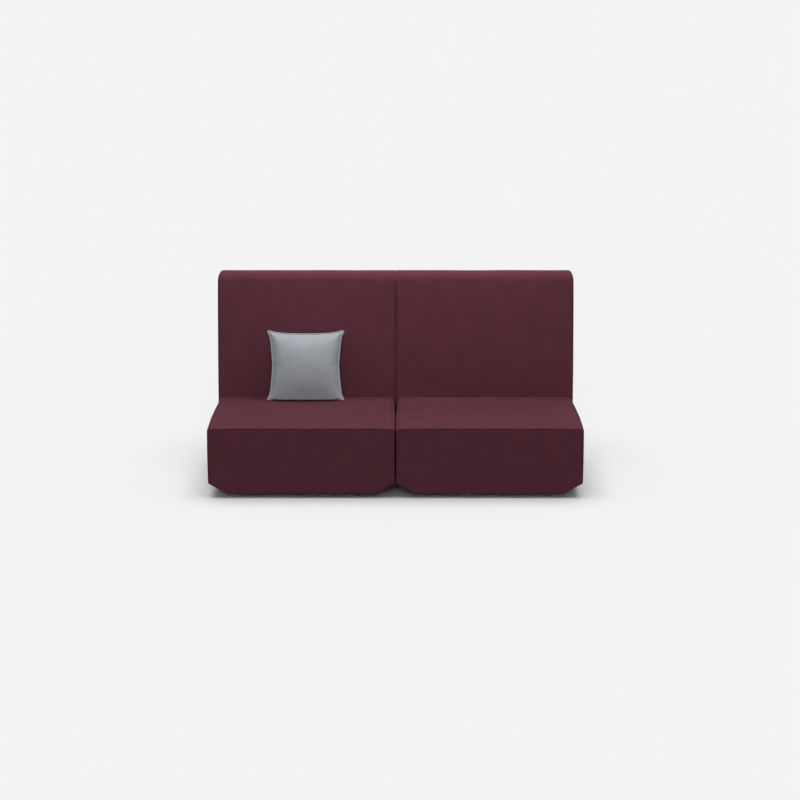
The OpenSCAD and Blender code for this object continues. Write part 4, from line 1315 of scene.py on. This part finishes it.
def kept_off(points, distance, outward, soft):
    """Moves points out of a surface, given their signed distances from it."""
    clear = (distance + np.sqrt(distance ** 2 + soft ** 2)) / 2
    return points + (clear - distance)[:, None] * outward


def pressed(points):
    """Rests points on the seat and against the backrest."""
    x = points[:, 0] + abs(module_middle)
    share = np.clip((points[:, 1] - front_y) / seat_depth, 0, 1)
    above = points[:, 2] - seat_h - seat_rise(share, x) - contact_gap
    from_seam = np.abs(in_own_axes(points)[:, 1])
    soft = contact_soft + (seat_soft - contact_soft) * eased(from_seam / 0.030)
    points = kept_off(points, above, (0, 0, 1), soft)
    behind = np.array([0, math.cos(rake), -math.sin(rake)])
    face = np.array([0, front_y + seat_depth, seat_h])
    along = (points - face) @ np.array([0, math.sin(rake), math.cos(rake)])
    distance = -(points - face) @ behind - back_crown * back_bulge(along) - contact_gap
    return kept_off(points, distance, -behind, contact_soft)


case_points = pressed(in_place(case_points))
print("the cushion stands at", np.round(cushion_foot, 4))

# %% [markdown]
# The zip is a stiff strip that is sewn into the rear panel near its lower edge, so the
# panel lies flat round it. Its place and its direction are asked from the frame, and the
# cloth is bedded just under the tapes, so that they lie on it.

# %% Bed of the zip
zip_low, zip_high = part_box("cushion_zip")
zip_middle = (np.array(zip_low) + np.array(zip_high)) / 2
zip_half_l = (zip_high.x - zip_low.x) / 2
zip_up = np.array(next(joint["axis"] for joint in frame["joints"]
                       if joint["name"] == "pull_hinge"))
zip_out = np.array([0, zip_up[2], -zip_up[1]])
zip_half_w = 0.012
zip_margin = 0.002
zip_bed = -0.0008


def bedded(points):
    """Flattens the rear panel where the zip's tapes are sewn on."""
    from_zip = points - zip_middle
    beside = np.maximum(np.abs(from_zip[:, 0]) - zip_half_l - zip_margin, 0)
    above = np.maximum(np.abs(from_zip @ zip_up) - zip_half_w - zip_margin, 0)
    share = eased(1 - np.hypot(beside / 0.030, above / 0.016))
    depth = from_zip @ zip_out
    share = share * (depth > -0.030)
    return points + ((zip_bed - depth) * share)[:, None] * zip_out


resting = in_own_axes(bedded(case_points))
print("the zip lies at", np.round(zip_middle, 4))

# %% [markdown]
# The case becomes a mesh in rings: the front panel, the flat stitched edge that goes out
# from the seam and comes back behind, and the rear panel. The edge is 5 mm thick where it
# is stitched, and it waves a little, because the thread draws it in.

# %% Stitched edge
edge_out = np.array([0.0006, 0.0020, 0.0040, 0.0058, 0.0066])
edge_thick = np.array([0.0010, 0.0021, 0.0025, 0.0020, 0.0010])
edge_tip = 0.0006
wave_h = 0.0011
wave_gap = 0.083


def flat_edge(ring):
    """Rings of points from the seam out to the edge and back behind it."""
    run = np.roll(ring, -1, axis=0) - np.roll(ring, 1, axis=0)
    outward = np.stack([run[:, 2], 0 * run[:, 0], -run[:, 0]], axis=1)
    outward /= np.linalg.norm(outward, axis=1)[:, None]
    along = np.cumsum(np.linalg.norm(run, axis=1)) / 2
    wave = wave_h * np.sin(2 * math.pi * along / wave_gap) + 0.0005 * np.sin(along * 171)
    through = np.array([0, 1, 0])
    rows = []
    for sign in (-1, 1):
        for out, thick in zip(edge_out, edge_thick):
            bend = (wave * (out / edge_out[-1]) ** 2 + sign * thick)[:, None]
            rows.append(ring + outward * out + bend * through)
    last = ring + outward * (edge_out[-1] + edge_tip) + wave[:, None] * through
    return rows[:len(edge_out)] + [last] + rows[:len(edge_out) - 1:-1]


edge_rows = flat_edge(resting[seam_ring])
print("rings in the stitched edge:", len(edge_rows))

# %% [markdown]
# A second skin inside gives the cotton its thickness, and a third, smaller form is the
# fibre filling. One level of subdivision rounds all of them, which is enough from near.

# %% Cushion cover and filling
cotton_in = 0.0015
filling_in = 0.0036


def case_skin(points, depth):
    """The closed case drawn in by about depth all round."""
    centre = np.array([0, 0, cushion_h / 2])
    in_plane, through = 1 - 6 * depth / cushion_w, 1 - 2.7 * depth / cushion_t
    return centre + (points - centre) * (in_plane, through, in_plane)


def strips(rings_of_numbers):
    """Faces between closed rings of point numbers, each further round than the last."""
    faces = []
    for near, far in zip(rings_of_numbers, rings_of_numbers[1:]):
        near_next, far_next = np.roll(near, -1), np.roll(far, -1)
        faces += list(zip(far, far_next, near_next, near))
    return faces


def soft_piece(name, points, faces, finish, replaced):
    """A piece on the cushion's body, made finer by one level of subdivision."""
    piece = new_piece(name, points, faces, finish, "cushion", [replaced])
    piece.modifiers.new("finer", "SUBSURF").levels = 1
    apply_modifiers(piece)
    return piece


front, rear = resting[front_grid].reshape(-1, 3), resting[rear_grid].reshape(-1, 3)
grid = np.arange(len(front)).reshape(front_grid.shape)
rim = ring_numbers(grid)
front[rim, 1] -= edge_thick[0] / 2
rear[rim, 1] += edge_thick[0] / 2
edge_numbers = [len(front) + k * len(rim) + np.arange(len(rim))
                for k in range(len(edge_rows))]
rear_start = len(front) + len(edge_rows) * len(rim)
outer_faces = (grid_faces(grid) + [f[::-1] for f in grid_faces(grid + rear_start)]
               + strips([rim] + edge_numbers + [rim + rear_start]))
outer = pressed(in_place(np.concatenate([front] + edge_rows + [rear])))
inner = in_place(case_skin(resting, cotton_in))
inner_faces = [tuple(n + len(outer) for n in f[::-1]) for f in case_faces]
cushion = soft_piece("cushion_case", np.concatenate([outer, inner]),
                     outer_faces + inner_faces, "cushion_fabric", "cushion_cover")
filling = soft_piece("cushion_fibre", in_place(case_skin(resting, filling_in)), case_faces,
                     "fibre_filling", "cushion_filling")
print("faces of the cushion:", len(cushion.data.polygons), len(filling.data.polygons))

# %% [markdown]
# The last cell brings the scene up to date.

# %% The end
bpy.context.view_layer.update()
